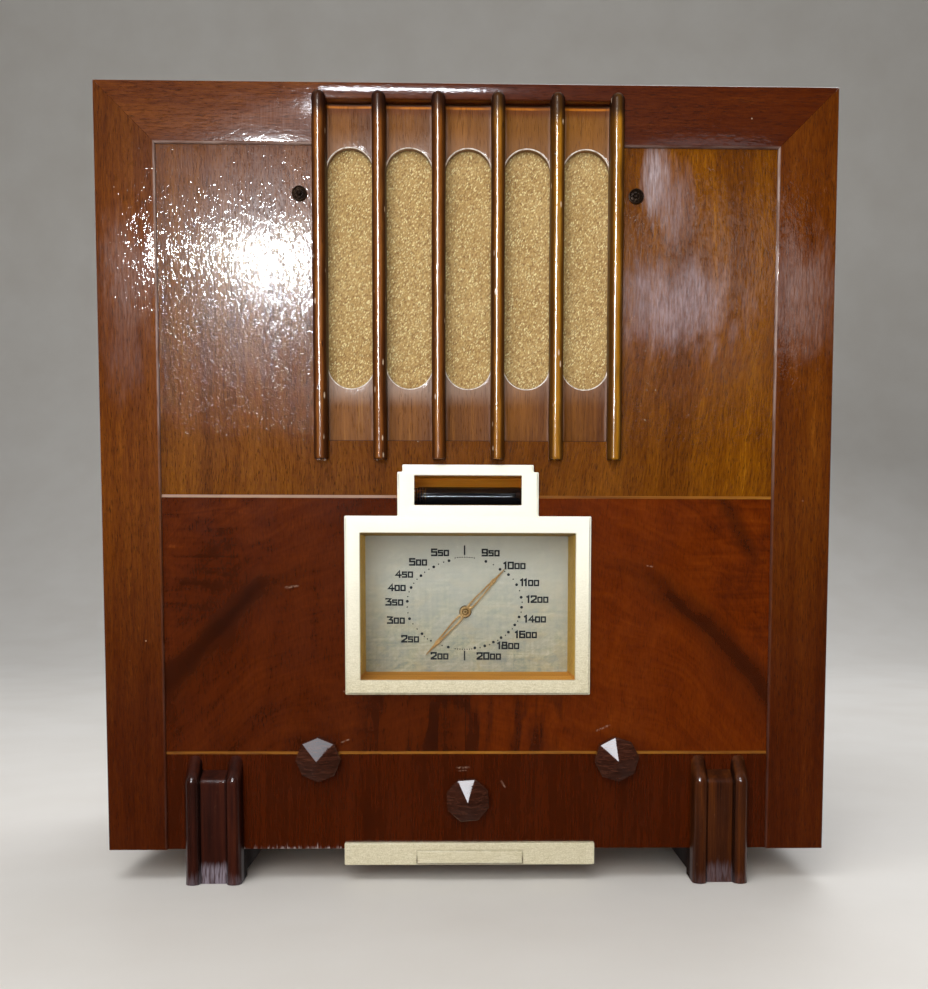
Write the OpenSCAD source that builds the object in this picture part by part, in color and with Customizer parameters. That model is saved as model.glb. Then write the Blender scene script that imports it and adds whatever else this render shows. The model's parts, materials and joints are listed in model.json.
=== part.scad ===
// Wooden table radio of the 1930s: veneered plywood cabinet in a mitred
// frame, slotted loudspeaker grille with six round-fronted bars, a cast
// metal bezel over a recessed dial, three eight-sided knobs, and the
// chassis, tuning gang, pointer drive, valves and loudspeaker inside.
// Millimetres. X to the right, Y from front to back, Z up from the feet.

/* [Cabinet] */
// Width of the cabinet across the front
cab_w = 444.5; // [430:1:460]
// Height of the cabinet without its feet
cab_h = 462; // [456:1:470]
// Depth of the cabinet from the frame's face to the back edge of its boards
cab_d = 246; // [240:1:270]
// Thickness of the side, top and bottom boards
board_t = 9; // [8:0.5:10]
// Face width of the mitred front frame
frame_w = 36; // [34:1:40]
// How far the front panel lies behind the frame's face
panel_set = 2.5; // [1.5:0.5:3]
// Thickness of the front panel
panel_t = 9; // [8:0.5:9]
// Thickness of the rear cover
cover_t = 3.5; // [3:0.5:5]

/* [Feet] */
// Height of the feet below the cabinet
foot_h = 19.5; // [18:0.5:24]
// Distance of each foot from the middle
foot_x = 156.2; // [152:0.2:160]
// Overall width of a front bracket
foot_w = 34; // [32:0.5:36]
// How far a bracket's ribs stand out from the panel
foot_out = 14; // [10:0.5:15]

/* [Grille] */
// Half width of the grille recess
gr_hw = 89; // [86:0.5:90]
// Number of slots in the fret
slot_n = 5; // [4:1:6]
// Width of one slot
slot_w = 28.6; // [24:0.2:28.6]
// Height of one slot, tip to tip
slot_h = 143; // [130:1:144]
// Width of a grille bar
bar_w = 8.4; // [7:0.2:10]
// How far a bar stands out from the frame's face
bar_out = 5.5; // [4.5:0.5:7]

/* [Dial] */
// Height of the pointer's axis above the cabinet's lower edge
dial_z = 146.4; // [145:0.2:148]
// Sideways place of the pointer's axis
dial_x = -1.6; // [-2:0.2:2]
// Length of each pointer arm
arm_l = 38; // [34:1:40]
// Rest angle of the pointer, clockwise from upright
pointer_a = 42.5; // [0:0.5:90]
// Depth of the dial plate behind the frame's face
plate_d = 43; // [41:0.5:44]

/* [Controls] */
// Sideways place of the two outer knobs
knob_x = 92; // [88:0.5:95]
// Height of the outer knobs above the cabinet's lower edge
knob_z = 57; // [55:0.1:57]
// Height of the tuning knob above the cabinet's lower edge
tune_z = 32.8; // [31:0.1:33]
// Distance across the corners of a knob
knob_w = 28; // [24:1:30]
// Radius of the control spindles
spin_r = 3.175; // [3:0.005:3.2]
// Radial running clearance of the spindles in their bushes
run_c = 0.05; // [0.03:0.01:0.08]

/* [Drive] */
// Module of the pointer gears
gear_m = 1.4; // [1.4:0.1:1.4]
// Teeth on each pointer gear
gear_n = 30; // [30:1:30]
// Radius of the friction drive disc
disc_r = 68; // [67:0.5:68]

/* [Hidden] */
$fn = 48;
eps = 0.01;
knob_out = 13.5;                       // knob tips before the frame's face
screw_out = 1.8;                       // rear screw heads behind the cover
yf = -(cab_d + cover_t + screw_out - knob_out) / 2;   // frame's face in Y
hw = cab_w / 2;
z0 = foot_h;                           // cabinet's lower edge
z1 = z0 + cab_h;                       // cabinet's upper edge
ft = panel_set + panel_t;              // back of frame and panel
ix = hw - frame_w;                     // frame's inner edge in X
iz = z1 - frame_w;                     // frame's inner edge in Z
reb = 6;                               // rebate that holds the panel
rail_above = 9.8;                      // rail left above the grille recess
gz0 = z0 + 251.7;                      // grille recess, lower edge
gz1 = z1 - rail_above;                 // grille recess, upper edge
pitch = 2 * gr_hw / slot_n;            // slot spacing
fret_d = 6.5;                          // fret's face
slot_zc = z0 + 355;                    // middle of the slots
bar_z0 = z0 + 240.5;
bar_z1 = z1 - 5.5;
cloth_t = 0.8;
baf0 = ft + cloth_t;                   // baffle board, front face
baf1 = baf0 + 9;                       // baffle board, back face
spk_z = z0 + 353.7;                    // loudspeaker's axis
bolt_x = 101;
bolt_z = z0 + 397.7;
dz = z0 + dial_z;                      // pointer axis
gz = dz - gear_m * gear_n;             // gang shaft axis
tz = z0 + tune_z;                      // tuning spindle axis
kz = z0 + knob_z;                      // outer spindles' axis
ch_d0 = 75;                            // chassis, front wall
ch_d1 = 235;                           // chassis, rear wall
ch_z0 = z0 + board_t;
ch_z1 = ch_z0 + 65;
ch_hw = 165;
ch_t = 1.5;
br0 = plate_d + 1;                     // dial bracket plate, front face
br1 = br0 + 1.5;
valve_at = [[110, 112], [47, 200], [-20, 200], [-87, 200]];
can_at = [[-112, 108], [-112, 152], [-66, 152]];
sock_at = [-114, -95, -76];
sock_z = z0 + 35;
gland_x = 115;

// ---- helpers: depth is counted from the frame's face ----
module at() translate([0, yf, 0]) children();
module bx(x0, x1, a, b, c, d)
  translate([x0, a, c]) cube([x1 - x0, b - a, d - c]);
// flat shape drawn in X and Z, standing from depth a to depth b
module plate(a, b)
  translate([0, b, 0]) rotate([90, 0, 0]) linear_extrude(height = b - a)
    children();
// flat shape drawn in depth and Z, running from x0 to x1
module prof(x0, x1)
  translate([x0, 0, 0]) rotate([90, 0, 90]) linear_extrude(height = x1 - x0)
    children();
module rod(r, a, b, x = 0, z = 0, fn = 48)
  translate([x, a, z]) rotate([-90, 0, 0]) cylinder(r = r, h = b - a, $fn = fn);
module taper(ra, rb, a, b, x = 0, z = 0, fn = 48)
  translate([x, a, z]) rotate([-90, 0, 0])
    cylinder(r1 = ra, r2 = rb, h = b - a, $fn = fn);
module rect(x0, x1, c, d) translate([x0, c]) square([x1 - x0, d - c]);
module slot2d(w, h) {
  square([w, h - w], center = true);
  for (s = [-1, 1]) translate([0, s * (h - w) / 2]) circle(d = w, $fn = 64);
}

// ---- cabinet ----
module cabinet_top() color("#5c2c12") at()
  bx(-hw, hw, ft, cab_d, z1 - board_t, z1);

module cabinet_bottom() color("#6b4a2c") at() difference() {
  bx(-hw + board_t, hw - board_t, ft, cab_d, z0, z0 + board_t);
  for (x = [-130, 130], d = [95, 215])
    translate([x, d, z0 - 1]) cylinder(r = 3.3, h = board_t + 2);
}

module cabinet_side(s) color("#5c2c12") at()
  if (s > 0) bx(hw - board_t, hw, ft, cab_d, z0, z1 - board_t);
  else bx(-hw, -hw + board_t, ft, cab_d, z0, z1 - board_t);
module cabinet_side_left() cabinet_side(-1);
module cabinet_side_right() cabinet_side(1);

// ---- mitred front frame ----
module stile_section() polygon([[ix, 0.9], [ix + 0.9, 0], [hw - 0.8, 0],
  [hw, 0.8], [hw, ft], [ix + reb, ft], [ix + reb, panel_set],
  [ix, panel_set]]);
module stile() color("#64300f") at() intersection() {
  translate([0, 0, z0]) linear_extrude(height = cab_h) stile_section();
  plate(-1, ft + 1) polygon([[ix - 1, z0 - 1], [hw + 1, z0 - 1],
    [hw + 1, z1 + 1], [ix - 1, iz - 1]]);
}
module frame_stile_right() stile();
module frame_stile_left() mirror([1, 0, 0]) stile();

module frame_top_rail() color("#64300f") at() difference() {
  intersection() {
    prof(-hw, hw) polygon([[0.9, iz], [0, iz + 0.9], [0, z1 - 0.8],
      [0.8, z1], [ft, z1], [ft, iz + reb], [panel_set, iz + reb],
      [panel_set, iz]]);
    plate(-1, ft + 1) polygon([[-hw - 1, z1 + 1], [hw + 1, z1 + 1],
      [ix - 1, iz - 1], [-ix + 1, iz - 1]]);
  }
  bx(-gr_hw, gr_hw, -1, ft + 1, iz - 1, gz1);
}

// ---- front panel and its inlay ----
module panel_holes() {
  rect(-gr_hw, gr_hw, gz0, z1);
  rect(-70, 70, z0 + 101, z0 + 201);
  rect(-36.5, 36.5, z0 + 209.5, z0 + 233.5);
  for (p = [[-knob_x, kz], [knob_x, kz], [0, tz]])
    translate(p) circle(r = 5);
  for (s = [-1, 1]) translate([s * bolt_x, bolt_z]) circle(r = 2.2);
}
module front_panel() color("#5a2408") at() difference() {
  plate(panel_set, ft) difference() {
    rect(-ix - reb, ix + reb, z0, iz + reb);
    panel_holes();
  }
  lines(panel_set - 1);
}
module lines(a) difference() {
  union() {
    bx(-ix, ix, a, panel_set + 0.8, z0 + 59.45, z0 + 61.15);
    for (s = [-1, 1])
      bx(s > 0 ? 36.5 : -ix, s > 0 ? ix : -36.5, a, panel_set + 0.8,
        z0 + 217.15, z0 + 218.85);
  }
  for (s = [-1, 1]) rod(5, 0, 9, s * knob_x, kz);
}
module inlay_lines() color("#c08a3e") at() lines(panel_set);

// ---- grille ----
module slot_cutter(x) translate([x, 0, 0]) {
  q = (slot_h - slot_w) / 2;
  plate(fret_d - 1, ft + 1) translate([0, slot_zc]) slot2d(slot_w - 0.8, slot_h - 0.8);
  for (s = [-1, 1])
    taper(slot_w / 2 + 1.4, slot_w / 2 - 0.4, fret_d - 0.6, fret_d + 1.2,
      0, slot_zc + s * q, 64);
  translate([0, 0, slot_zc - q]) linear_extrude(height = 2 * q)
    polygon([[-slot_w / 2 - 1.4, fret_d - 0.6], [slot_w / 2 + 1.4, fret_d - 0.6],
      [slot_w / 2 - 0.4, fret_d + 1.2], [-slot_w / 2 + 0.4, fret_d + 1.2]]);
}
module grille_fret() color("#7a3f1a") at() difference() {
  bx(-gr_hw, gr_hw, fret_d, ft, gz0, gz1);
  for (i = [0 : slot_n - 1]) slot_cutter((i - (slot_n - 1) / 2) * pitch);
}
module bar(x) {
  r = bar_w / 2;
  yc = -bar_out + r;
  inner0 = max(x - r, -gr_hw);
  inner1 = min(x + r, gr_hw);
  intersection() {
    union() {
      translate([x, yc, bar_z0]) cylinder(r = r, h = bar_z1 - r - bar_z0);
      translate([x, yc, bar_z1 - r]) sphere(r = r);
    }
    bx(x - r - 1, x + r + 1, -bar_out - 1, 0, bar_z0, bar_z1 + 1);
  }
  bx(x - r, x + r, yc, 0, bar_z0, bar_z1 - r);
  rod(r, yc, 0, x, bar_z1 - r);
  bx(x - r, x + r, 0 - eps, panel_set, bar_z0, iz);
  bx(inner0, inner1, 0 - eps, fret_d, gz0, gz1);
}
module grille_bars() color("#4a2412") at()
  for (i = [0 : slot_n]) bar(-gr_hw + i * pitch);

module panel_bolts() color("#3a2c20") at() for (s = [-1, 1])
  translate([s * bolt_x, 0, bolt_z]) {
    rod(4.6, panel_set - 1.1, panel_set);
    taper(3.2, 4.6, panel_set - 1.8, panel_set - 1.1);
    rod(2, panel_set - eps, baf1 + 5);
    rod(4, baf1, baf1 + 2.6, 0, 0, 6);
  }

module speaker_cloth() color("#b98f4e") at() difference() {
  bx(-111, 111, ft, baf0, gz0 - 5, z1 - 14);
  for (s = [-1, 1]) rod(2.4, 0, 30, s * bolt_x, bolt_z);
}
module baffle_board() color("#8a6a44") at() difference() {
  bx(-115, 115, baf0, baf1, gz0 - 8, z1 - 12);
  rod(78, 0, 40, 0, spk_z, 96);
  for (s = [-1, 1]) rod(2.3, 0, 40, s * bolt_x, bolt_z);
  for (a = [45 : 90 : 315])
    rod(2.15, 0, 40, 88 * cos(a), spk_z + 88 * sin(a));
  for (a = [45 : 90 : 315])
    taper(4.5, 2.15, baf0 - 0.2, baf0 + 2.6, 88 * cos(a), spk_z + 88 * sin(a));
}

// ---- bezel and the strip under the cabinet ----
module bezel_outline() {
  rect(-75.3, 75.3, z0 + 96.8, z0 + 206.2);
  rect(-43, 43, z0 + 206, z0 + 232.8);
  rect(-39.9, 39.9, z0 + 232, z0 + 237.2);
}
module bezel() color("#e8dcb4") at() difference() {
  plate(-1.5, panel_set) difference() {
    bezel_outline();
    rect(-66.1, 66.1, z0 + 105.7, z0 + 196);
    rect(-32.7, 32.7, z0 + 212.7, z0 + 230.8);
  }
  // narrow step around the face's outer edge
  plate(-2, -0.7) difference() {
    rect(-80, 80, z0 + 90, z0 + 240);
    rect(-74.6, 74.6, z0 + 97.5, z0 + 205.5);
    rect(-42.3, 42.3, z0 + 205, z0 + 232.1);
    rect(-39.2, 39.2, z0 + 231, z0 + 236.5);
  }
}
module base_strip() color("#e8dcb4") at() {
  bx(-76.5, 78.9, -1.5, panel_set, z0 - 9.6, z0 + 4.2);
  bx(-31.6, 34, -3.3, -1.5 + eps, z0 - 8.5, z0 - 0.3);
}

// ---- dial ----
module dial_glass() color("#c8dcd8", 0.35) at() {
  bx(-70, 70, panel_set, panel_set + 2, z0 + 101, z0 + 201);
  bx(-36.5, 36.5, panel_set, panel_set + 2, z0 + 209.5, z0 + 233.5);
}
module dial_box() color("#8a5a24") at() plate(panel_set + 2, plate_d)
  difference() {
    rect(-70, 70, z0 + 101, z0 + 201);
    rect(-66.4, 66.4, z0 + 105.2, z0 + 196.3);
  }
module indicator_holder() color("#9a6228") at() {
  difference() {
    bx(-36.5, 36.5, panel_set + 2, 34, z0 + 209.5, z0 + 233.5);
    bx(-34, 34, panel_set + 1, 32, z0 + 211.5, z0 + 231.5);
  }
  for (s = [-1, 1]) translate([s > 0 ? 29 : -34 - eps, 24, z0 + 220])
    rotate([0, 90, 0]) cylinder(r = 4, h = 5 + eps);
}
module indicator_tube() color("#14161c") at()
  translate([-29, 24, z0 + 220]) rotate([0, 90, 0]) cylinder(r = 5.5, h = 58);
module dial_plate() color("#a9a88c") at() difference() {
  bx(-68.5, 68.5, plate_d, br0, z0 + 102.5, z0 + 199.5);
  rod(4, 0, 60, dial_x, dz);
}
module dial_bracket() color("#9aa0a0") at() {
  plate(br0, br1) difference() {
    rect(-75, 75, ch_z1 + 4, z0 + 204);
    translate([dial_x, dz]) circle(r = 4.5);
    for (s = [-1, 1]) translate([s * 56, z0 + 183]) circle(r = 9);
  }
  for (s = [-1, 1]) {
    prof(s > 0 ? 73.5 : -75, s > 0 ? 75 : -73.5) polygon([
      [br1 - eps, ch_z1 + 4], [br1 - eps, z0 + 204], [62, z0 + 204],
      [118, z0 + 100], [118, ch_z1], [78, ch_z1], [78, ch_z1 + 4]]);
    bx(s > 0 ? 75 - eps : -90, s > 0 ? 90 : -75 + eps, 78, 118, ch_z1,
      ch_z1 + 1.5);
    bx(s > 0 ? 60.6 : -74, s > 0 ? 74 : -60.6, 58, 60, z0 + 181, z0 + 185);
  }
}
module dial_lamps() color("#d8b070") at() for (s = [-1, 1])
  translate([s * 56, 0, z0 + 183]) {
    rod(4.6, 55, 66);
    translate([0, 52, 0]) sphere(r = 5.4);
  }

// ---- pointer and its geared drive ----
function invdeg(r, rb) = let (t = sqrt(max(0, pow(r / rb, 2) - 1)))
  t * 180 / PI - atan(t);
function gear_pts(n, m, thin) = let (rp = n * m / 2, rb = rp * cos(20),
  rr = rp - 1.25 * m, rt = rp + m,
  rs = [rb, rb + (rt - rb) * 0.33, rb + (rt - rb) * 0.66, rt])
  [for (k = [0 : n - 1]) let (c = k * 360 / n)
    for (q = [0 : 9]) let (i = q < 5 ? q - 1 : 8 - q,
      r = (q == 0 || q == 9) ? rr : rs[i],
      h = 90 / n - thin + invdeg(rp, rb) - invdeg(max(r, rb), rb),
      a = q < 5 ? c - h : c + h)
      [r * cos(a), r * sin(a)]];
module gear2d() polygon(gear_pts(gear_n, gear_m, 0.45));

module pointer_arm() polygon([[-1.1, 3], [-1.75, 10], [-0.9, 24], [0, arm_l],
  [0.9, 24], [1.75, 10], [1.1, 3]]);
module pointer() color("#c89a48") at() translate([dial_x, 0, dz])
  rotate([0, pointer_a, 0]) {
    plate(40.4, 41.2) { pointer_arm(); rotate(180) pointer_arm(); }
    difference() {
      rod(4.6, 39.8, 41.8);
      rod(2, 39, 43);
    }
  }
module pointer_spindle() color("#b08d50") at() translate([dial_x, 0, dz]) {
  rod(2, 39.4, 56);
  plate(52, 55) rotate(180 / gear_n) gear2d();
  rod(4, 55 - eps, 57);
}
module spindle_bushes() color("#b89a5a") at() {
  difference() {
    translate([dial_x, 0, dz]) { rod(4.5, br0, br1 + 5); rod(7, br1, br1 + 1.5); }
    rod(2 + run_c, 30, 70, dial_x, dz);
  }
  difference() {
    translate([0, 0, tz]) { rod(5, 66, 81); rod(8, 72, ch_d0, 0, 0, 6); }
    rod(spin_r + run_c, 60, 90, 0, tz);
  }
}
module gang_gear() color("#b08d50") at() translate([dial_x, 0, gz])
  plate(52, 55) difference() { gear2d(); circle(r = spin_r); }
module drive_disc() color("#a8a8a4") at() translate([dial_x, 0, gz]) {
  difference() {
    rod(disc_r, 60.7, 61.9, 0, 0, 128);
    rod(spin_r, 50, 70);
    for (a = [0 : 60 : 300])
      rod(13, 50, 70, 40 * cos(a), 40 * sin(a));
  }
  difference() { rod(8, 61.9 - eps, 68); rod(spin_r, 50, 70); }
}

// ---- tuning gang ----
module gang_shaft() color("#b8b8b8") at() rod(spin_r, 50.5, 170, dial_x, gz);
module gang_frame() color("#9aa0a0") at() translate([dial_x, 0, 0])
  difference() {
    union() {
      bx(-36, 36, 84, 86, ch_z1, gz + 32);
      bx(-36, 36, 164, 166, ch_z1, gz + 32);
      bx(-36, 36, 84, 166, ch_z1, ch_z1 + 1.5);
      for (s = [-35, 34]) bx(s, s + 1, 85, 165, gz + 26, gz + 32);
    }
    rod(spin_r + run_c, 60, 180, 0, gz);
  }
module sections() for (k = [0 : 2]) translate([0, 91 + k * 24.5, 0]) children();
module gang_rotor_vanes() color("#c4b078") at() translate([dial_x, 0, gz])
  rotate([0, 270 - pointer_a, 0])
  difference() {
    union() {
      sections() for (i = [0 : 5]) translate([0, 1.6 + i * 3.2, 0])
        plate(0, 0.8) intersection() {
          circle(r = 25, $fn = 96);
          rect(-26, 26, -2, 26);
        }
      rod(5, 88, 162);
    }
    rod(spin_r, 80, 170);
  }
module gang_stator_vanes() color("#c8c8c0") at() translate([dial_x, 0, gz]) {
  sections() for (i = [0 : 6]) translate([0, i * 3.2, 0])
    plate(0, 0.8) difference() {
      intersection() {
        circle(r = 31, $fn = 96);
        rect(0.8, 32, -28, 32);
      }
      circle(r = 7.5);
    }
  for (a = [35, 125]) rod(1.6, 86, 164, 28.4 * sin(a), 28.4 * cos(a));
}

// ---- knobs, spindles and controls ----
module knob_body(x, z, a) translate([x, 0, z]) rotate([0, a, 0]) difference() {
  union() {
    taper(0.3, knob_w / 2, -knob_out, -5.2, 0, 0, 8);
    taper(knob_w / 2, knob_w / 2, -5.2 - eps, 1.9, 0, 0, 8);
  }
  rod(spin_r, -8.5, 5);
  translate([0, -2, 0]) rotate([180, 0, 0]) cylinder(r = 1.65, h = 20, $fn = 24);
}
module grub(x, z, a) translate([x, -2, z]) rotate([0, a, 0]) rotate([180, 0, 0])
  translate([0, 0, 2.6]) cylinder(r = 1.6, h = 8, $fn = 24);
module tuning_knob() color("#3a2018") at() knob_body(0, tz, 18.5);
module volume_knob() color("#3a2018") at() knob_body(-knob_x, kz, 0);
module waveband_knob() color("#3a2018") at() knob_body(knob_x, kz, -5.5);

module tuning_spindle() color("#b8b8b8") at() {
  translate([0, 0, tz]) {
    rod(spin_r, -8.5, 92);
    rod(8.2, 59.2, 60.4);
    rod(8.2, 62.2, 63.4);
  }
  grub(0, tz, 18.5);
}
module volume_spindle() color("#b8b8b8") at() {
  rod(spin_r, -8.5, 90, -knob_x, kz);
  grub(-knob_x, kz, 0);
}
module waveband_spindle() color("#b8b8b8") at() {
  rod(spin_r, -8.5, 116, knob_x, kz);
  grub(knob_x, kz, -5.5);
}
module volume_control() color("#20180f") at() translate([-knob_x, 0, kz])
  difference() {
    union() {
      rod(5, 66, 77);
      rod(8, 72, ch_d0, 0, 0, 6);
      rod(14.5, ch_d0 + ch_t, 94, 0, 0, 64);
    }
    rod(spin_r + run_c, 60, 92);
  }
module waveband_switch() color("#6a4a22") at() translate([knob_x, 0, kz])
  difference() {
    union() {
      rod(5, 66, 77);
      rod(8, 72, ch_d0, 0, 0, 6);
      rod(10, ch_d0 + ch_t, 82);
      for (d = [94, 110]) rod(14.5, d, d + 2, 0, 0, 64);
      for (s = [-1, 1]) rod(1.6, 80, 112, s * 8, 0);
      bx(-9.5, 9.5, ch_d0 + ch_t, 82, -4, 4);
    }
    rod(spin_r + run_c, 60, 120);
  }

// ---- feet ----
// side outline: upright to height zb, a bend of radius r through phi
// degrees, then a straight slope back to the panel
module foot_side(out, zb, r, phi) {
  cd = -out + panel_set + r;
  td = cd - r * cos(phi);
  tv = zb + r * sin(phi);
  rect(-out + panel_set, panel_set, 0, zb);
  rect(panel_set - eps, ft, 0, z0);
  intersection() {
    translate([cd, zb]) circle(r = r, $fn = 64);
    rect(-out - 1, panel_set, zb - r, zb + r + 1);
  }
  polygon([[cd, zb - 1], [td, tv],
    [panel_set, tv + (panel_set - td) / tan(phi)], [panel_set, zb - 1]]);
}
module foot_bracket(s) translate([s * foot_x, 0, 0]) {
  b = foot_w / 2 - 9;
  for (m = [-1, 1]) intersection() {
    translate([m * (b + 4.5), 0, 0]) linear_extrude(height = z0 + 64) {
      translate([0, panel_set - foot_out + 4.5]) circle(r = 4.5);
      rect(-4.5, 4.5, panel_set - foot_out + 4.5, ft);
    }
    prof(m > 0 ? b : -b - 9, m > 0 ? b + 9 : -b) foot_side(foot_out, z0 + 42, 7.5, 46);
  }
  prof(-b - eps, b + eps) foot_side(foot_out - 4.5, z0 + 41.6, 5, 62);
}
module foot_brackets() color("#2a0f08") at() {
  foot_bracket(-1);
  foot_bracket(1);
}
module foot_runners() color("#2a140c") at() for (s = [-1, 1])
  bx(s * foot_x - 14, s * foot_x + 14, ft, 236, 0, z0);

// ---- chassis and what stands on it ----
module chassis() color("#8c9090") at() difference() {
  union() {
    difference() {
      bx(-ch_hw, ch_hw, ch_d0, ch_d1, ch_z0, ch_z1);
      bx(-ch_hw + ch_t, ch_hw - ch_t, ch_d0 + ch_t, ch_d1 - ch_t, ch_z0 - 1,
        ch_z1 - ch_t);
    }
    for (x = [-ch_hw + 1, 120]) bx(x, x + ch_hw - 121, ch_d0 + 1, ch_d1 - 1,
      ch_z0, ch_z0 + ch_t);
  }
  rod(5, 70, 80, 0, tz);
  for (s = [-1, 1]) rod(5, 70, 80, s * knob_x, kz);
  for (p = valve_at) translate([p[0], p[1], ch_z1 - 5])
    cylinder(r = 13, h = 10);
  for (x = sock_at) rod(4, 230, 240, x, sock_z);
  rod(6.5, 230, 240, gland_x, sock_z);
  for (x = [-130, 130], d = [95, 215])
    translate([x, d, ch_z0 - 1]) cylinder(r = 3.3, h = 4);
}
module chassis_bolts() color("#7c7c78") at()
  for (x = [-130, 130], d = [95, 215]) translate([x, d, 0]) {
    translate([0, 0, z0 - 3]) cylinder(r = 6, h = 3);
    translate([0, 0, z0 - 1]) cylinder(r = 3, h = board_t + 9);
    translate([0, 0, ch_z0 + ch_t]) cylinder(r = 5, h = 3.5, $fn = 6);
  }
module transformer_core() color("#3c3c40") at() difference() {
  union() {
    bx(76, 148, 166, 206, ch_z1 + 6, ch_z1 + 66);
    for (x = [76, 138]) bx(x, x + 10, 166, 206, ch_z1, ch_z1 + 6 + eps);
  }
  bx(88, 100, 160, 212, ch_z1 + 18, ch_z1 + 54);
  bx(124, 136, 160, 212, ch_z1 + 18, ch_z1 + 54);
}
module transformer_winding() color("#7a4a22") at() difference() {
  bx(88, 136, 154, 218, ch_z1 + 18, ch_z1 + 54);
  bx(100, 124, 150, 222, ch_z1 + 17, ch_z1 + 55);
  bx(80, 89, 160, 164, ch_z1 + 10, ch_z1 + 60);
}
module at_valves() for (p = valve_at) translate([p[0], p[1], ch_z1]) children();
module valve_holders() color("#50301a") at() at_valves()
  difference() {
    union() { cylinder(r = 19, h = 3); translate([0, 0, -3]) cylinder(r = 13, h = 4); }
    for (a = [45 : 90 : 315]) translate([8 * cos(a), 8 * sin(a), -4])
      cylinder(r = 1.6, h = 9, $fn = 24);
  }
module valve_bases() color("#241a14") at() at_valves() {
  translate([0, 0, 3]) cylinder(r = 16, h = 25);
  for (a = [45 : 90 : 315]) translate([8 * cos(a), 8 * sin(a), -2])
    cylinder(r = 1.5, h = 5.5, $fn = 24);
}
module valve_envelopes() color("#b8c8c8", 0.4) at() at_valves()
  translate([0, 0, 28]) rotate_extrude($fn = 64) polygon([[0, 0], [14.5, 0],
    [15.5, 6], [18.5, 14], [21, 22], [22, 31], [21.6, 40], [20, 48],
    [17, 55], [15, 61], [14.6, 68], [13.2, 73], [9.5, 77.5], [5, 79.6],
    [0, 80.2], [0, 79], [4.8, 78.4], [9, 76.4], [12.2, 72.4], [13.4, 67.6],
    [13.8, 60.6], [15.9, 54.4], [18.8, 47.6], [20.4, 39.8], [20.8, 31],
    [19.8, 22.4], [17.4, 14.5], [14.4, 6.4], [13.4, 1.2], [0, 1.2]]);
module coil_cans() color("#b4b8ba") at() for (p = can_at)
  translate([p[0], p[1], ch_z1]) difference() {
    union() {
      cylinder(r = 18.5, h = 68, $fn = 64);
      cylinder(r = 20.5, h = 2, $fn = 64);
      translate([0, 0, 68 - eps]) cylinder(r1 = 18.5, r2 = 16, h = 2.5, $fn = 64);
    }
    translate([0, 0, -1]) cylinder(r = 17.6, h = 68, $fn = 64);
  }

// ---- loudspeaker ----
module spk() translate([0, 0, spk_z]) rotate([-90, 0, 0]) children();
module speaker_surround() color("#4a3a2a") at() spk() translate([0, 0, baf1])
  difference() {
    cylinder(r = 92, h = 1.7, $fn = 96);
    translate([0, 0, -1]) cylinder(r = 80.6, h = 4, $fn = 96);
    for (a = [45 : 90 : 315]) translate([88 * cos(a), 88 * sin(a), -1])
      cylinder(r = 2.15, h = 4, $fn = 24);
  }
module speaker_basket() color("#6a6e70") at() spk() difference() {
  rotate_extrude($fn = 96) polygon([[82.6, 23], [92, 23], [92, 24.6],
    [84.8, 24.6], [46, 64.4], [46, 66], [20, 66], [20, 64.4], [44.6, 64.4],
    [82.6, 25]]);
  for (a = [22.5 : 45 : 337.5]) rotate(a) translate([0, 0, 27])
    linear_extrude(height = 35) polygon([[34, -7], [90, -21], [90, 21], [34, 7]]);
  for (a = [45 : 90 : 315]) translate([88 * cos(a), 88 * sin(a), 20])
    cylinder(r = 2.15, h = 8, $fn = 24);
}
module speaker_cone() color("#3a342c") at() spk() rotate_extrude($fn = 96)
  polygon([[79.2, 23.7], [79.2, 24.6], [16.2, 59], [16, 74], [15.2, 74],
    [15.2, 59.6], [0, 58.2], [0, 57.4], [15.6, 58.4]]);
module speaker_magnet() color("#4c4c4e") at() spk() difference() {
  union() {
    translate([0, 0, 66]) cylinder(r = 36, h = 44, $fn = 96);
    translate([0, 0, 110 - eps]) cylinder(r1 = 36, r2 = 33, h = 2.5, $fn = 96);
  }
  translate([0, 0, 65]) difference() {
    cylinder(r = 17.2, h = 17);
    translate([0, 0, -1]) cylinder(r = 14, h = 19);
  }
}
module speaker_bolts() color("#a0a098") at() spk() for (a = [45 : 90 : 315])
  translate([88 * cos(a), 88 * sin(a), 0]) {
    translate([0, 0, baf0 + 0.1]) cylinder(r1 = 4, r2 = 2, h = 2.2, $fn = 32);
    translate([0, 0, baf0 + 2]) cylinder(r = 2, h = 15.5, $fn = 32);
    translate([0, 0, 24.6]) cylinder(r = 3.9, h = 3, $fn = 6);
  }

// ---- rear ----
module vents() {
  for (i = [-5 : 5]) translate([i * 17, spk_z]) slot2d(8, 120);
  for (i = [-7 : 7]) translate([i * 17, z0 + 190]) slot2d(8, 90);
}
module rear_cover() color("#5a3a20") at() difference() {
  plate(cab_d, cab_d + cover_t) difference() {
    rect(-hw + 3, hw - 3, z0 + 3, z1 - 3);
    rect(-152, 152, z0, z0 + 70);
    vents();
  }
  for (p = cover_at) rod(1.7, cab_d - 1, cab_d + 9, p[0], p[1]);
}
cover_at = concat([for (s = [-1, 1], z = [z0 + 40, z0 + 165, z0 + 295, z0 + 425])
  [s * (hw - 6), z]], [for (s = [-1, 1]) [s * 90, z1 - 6]]);
module rear_cover_screws() color("#b89a5a") at() for (p = cover_at)
  translate([p[0], 0, p[1]]) {
    rod(1.5, cab_d - 0, cab_d + cover_t + 0.2);
    difference() {
      taper(3.6, 2.4, cab_d + cover_t, cab_d + cover_t + screw_out);
      bx(-4, 4, cab_d + cover_t + 0.9, cab_d + cover_t + 3, -0.45, 0.45);
    }
  }
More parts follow.
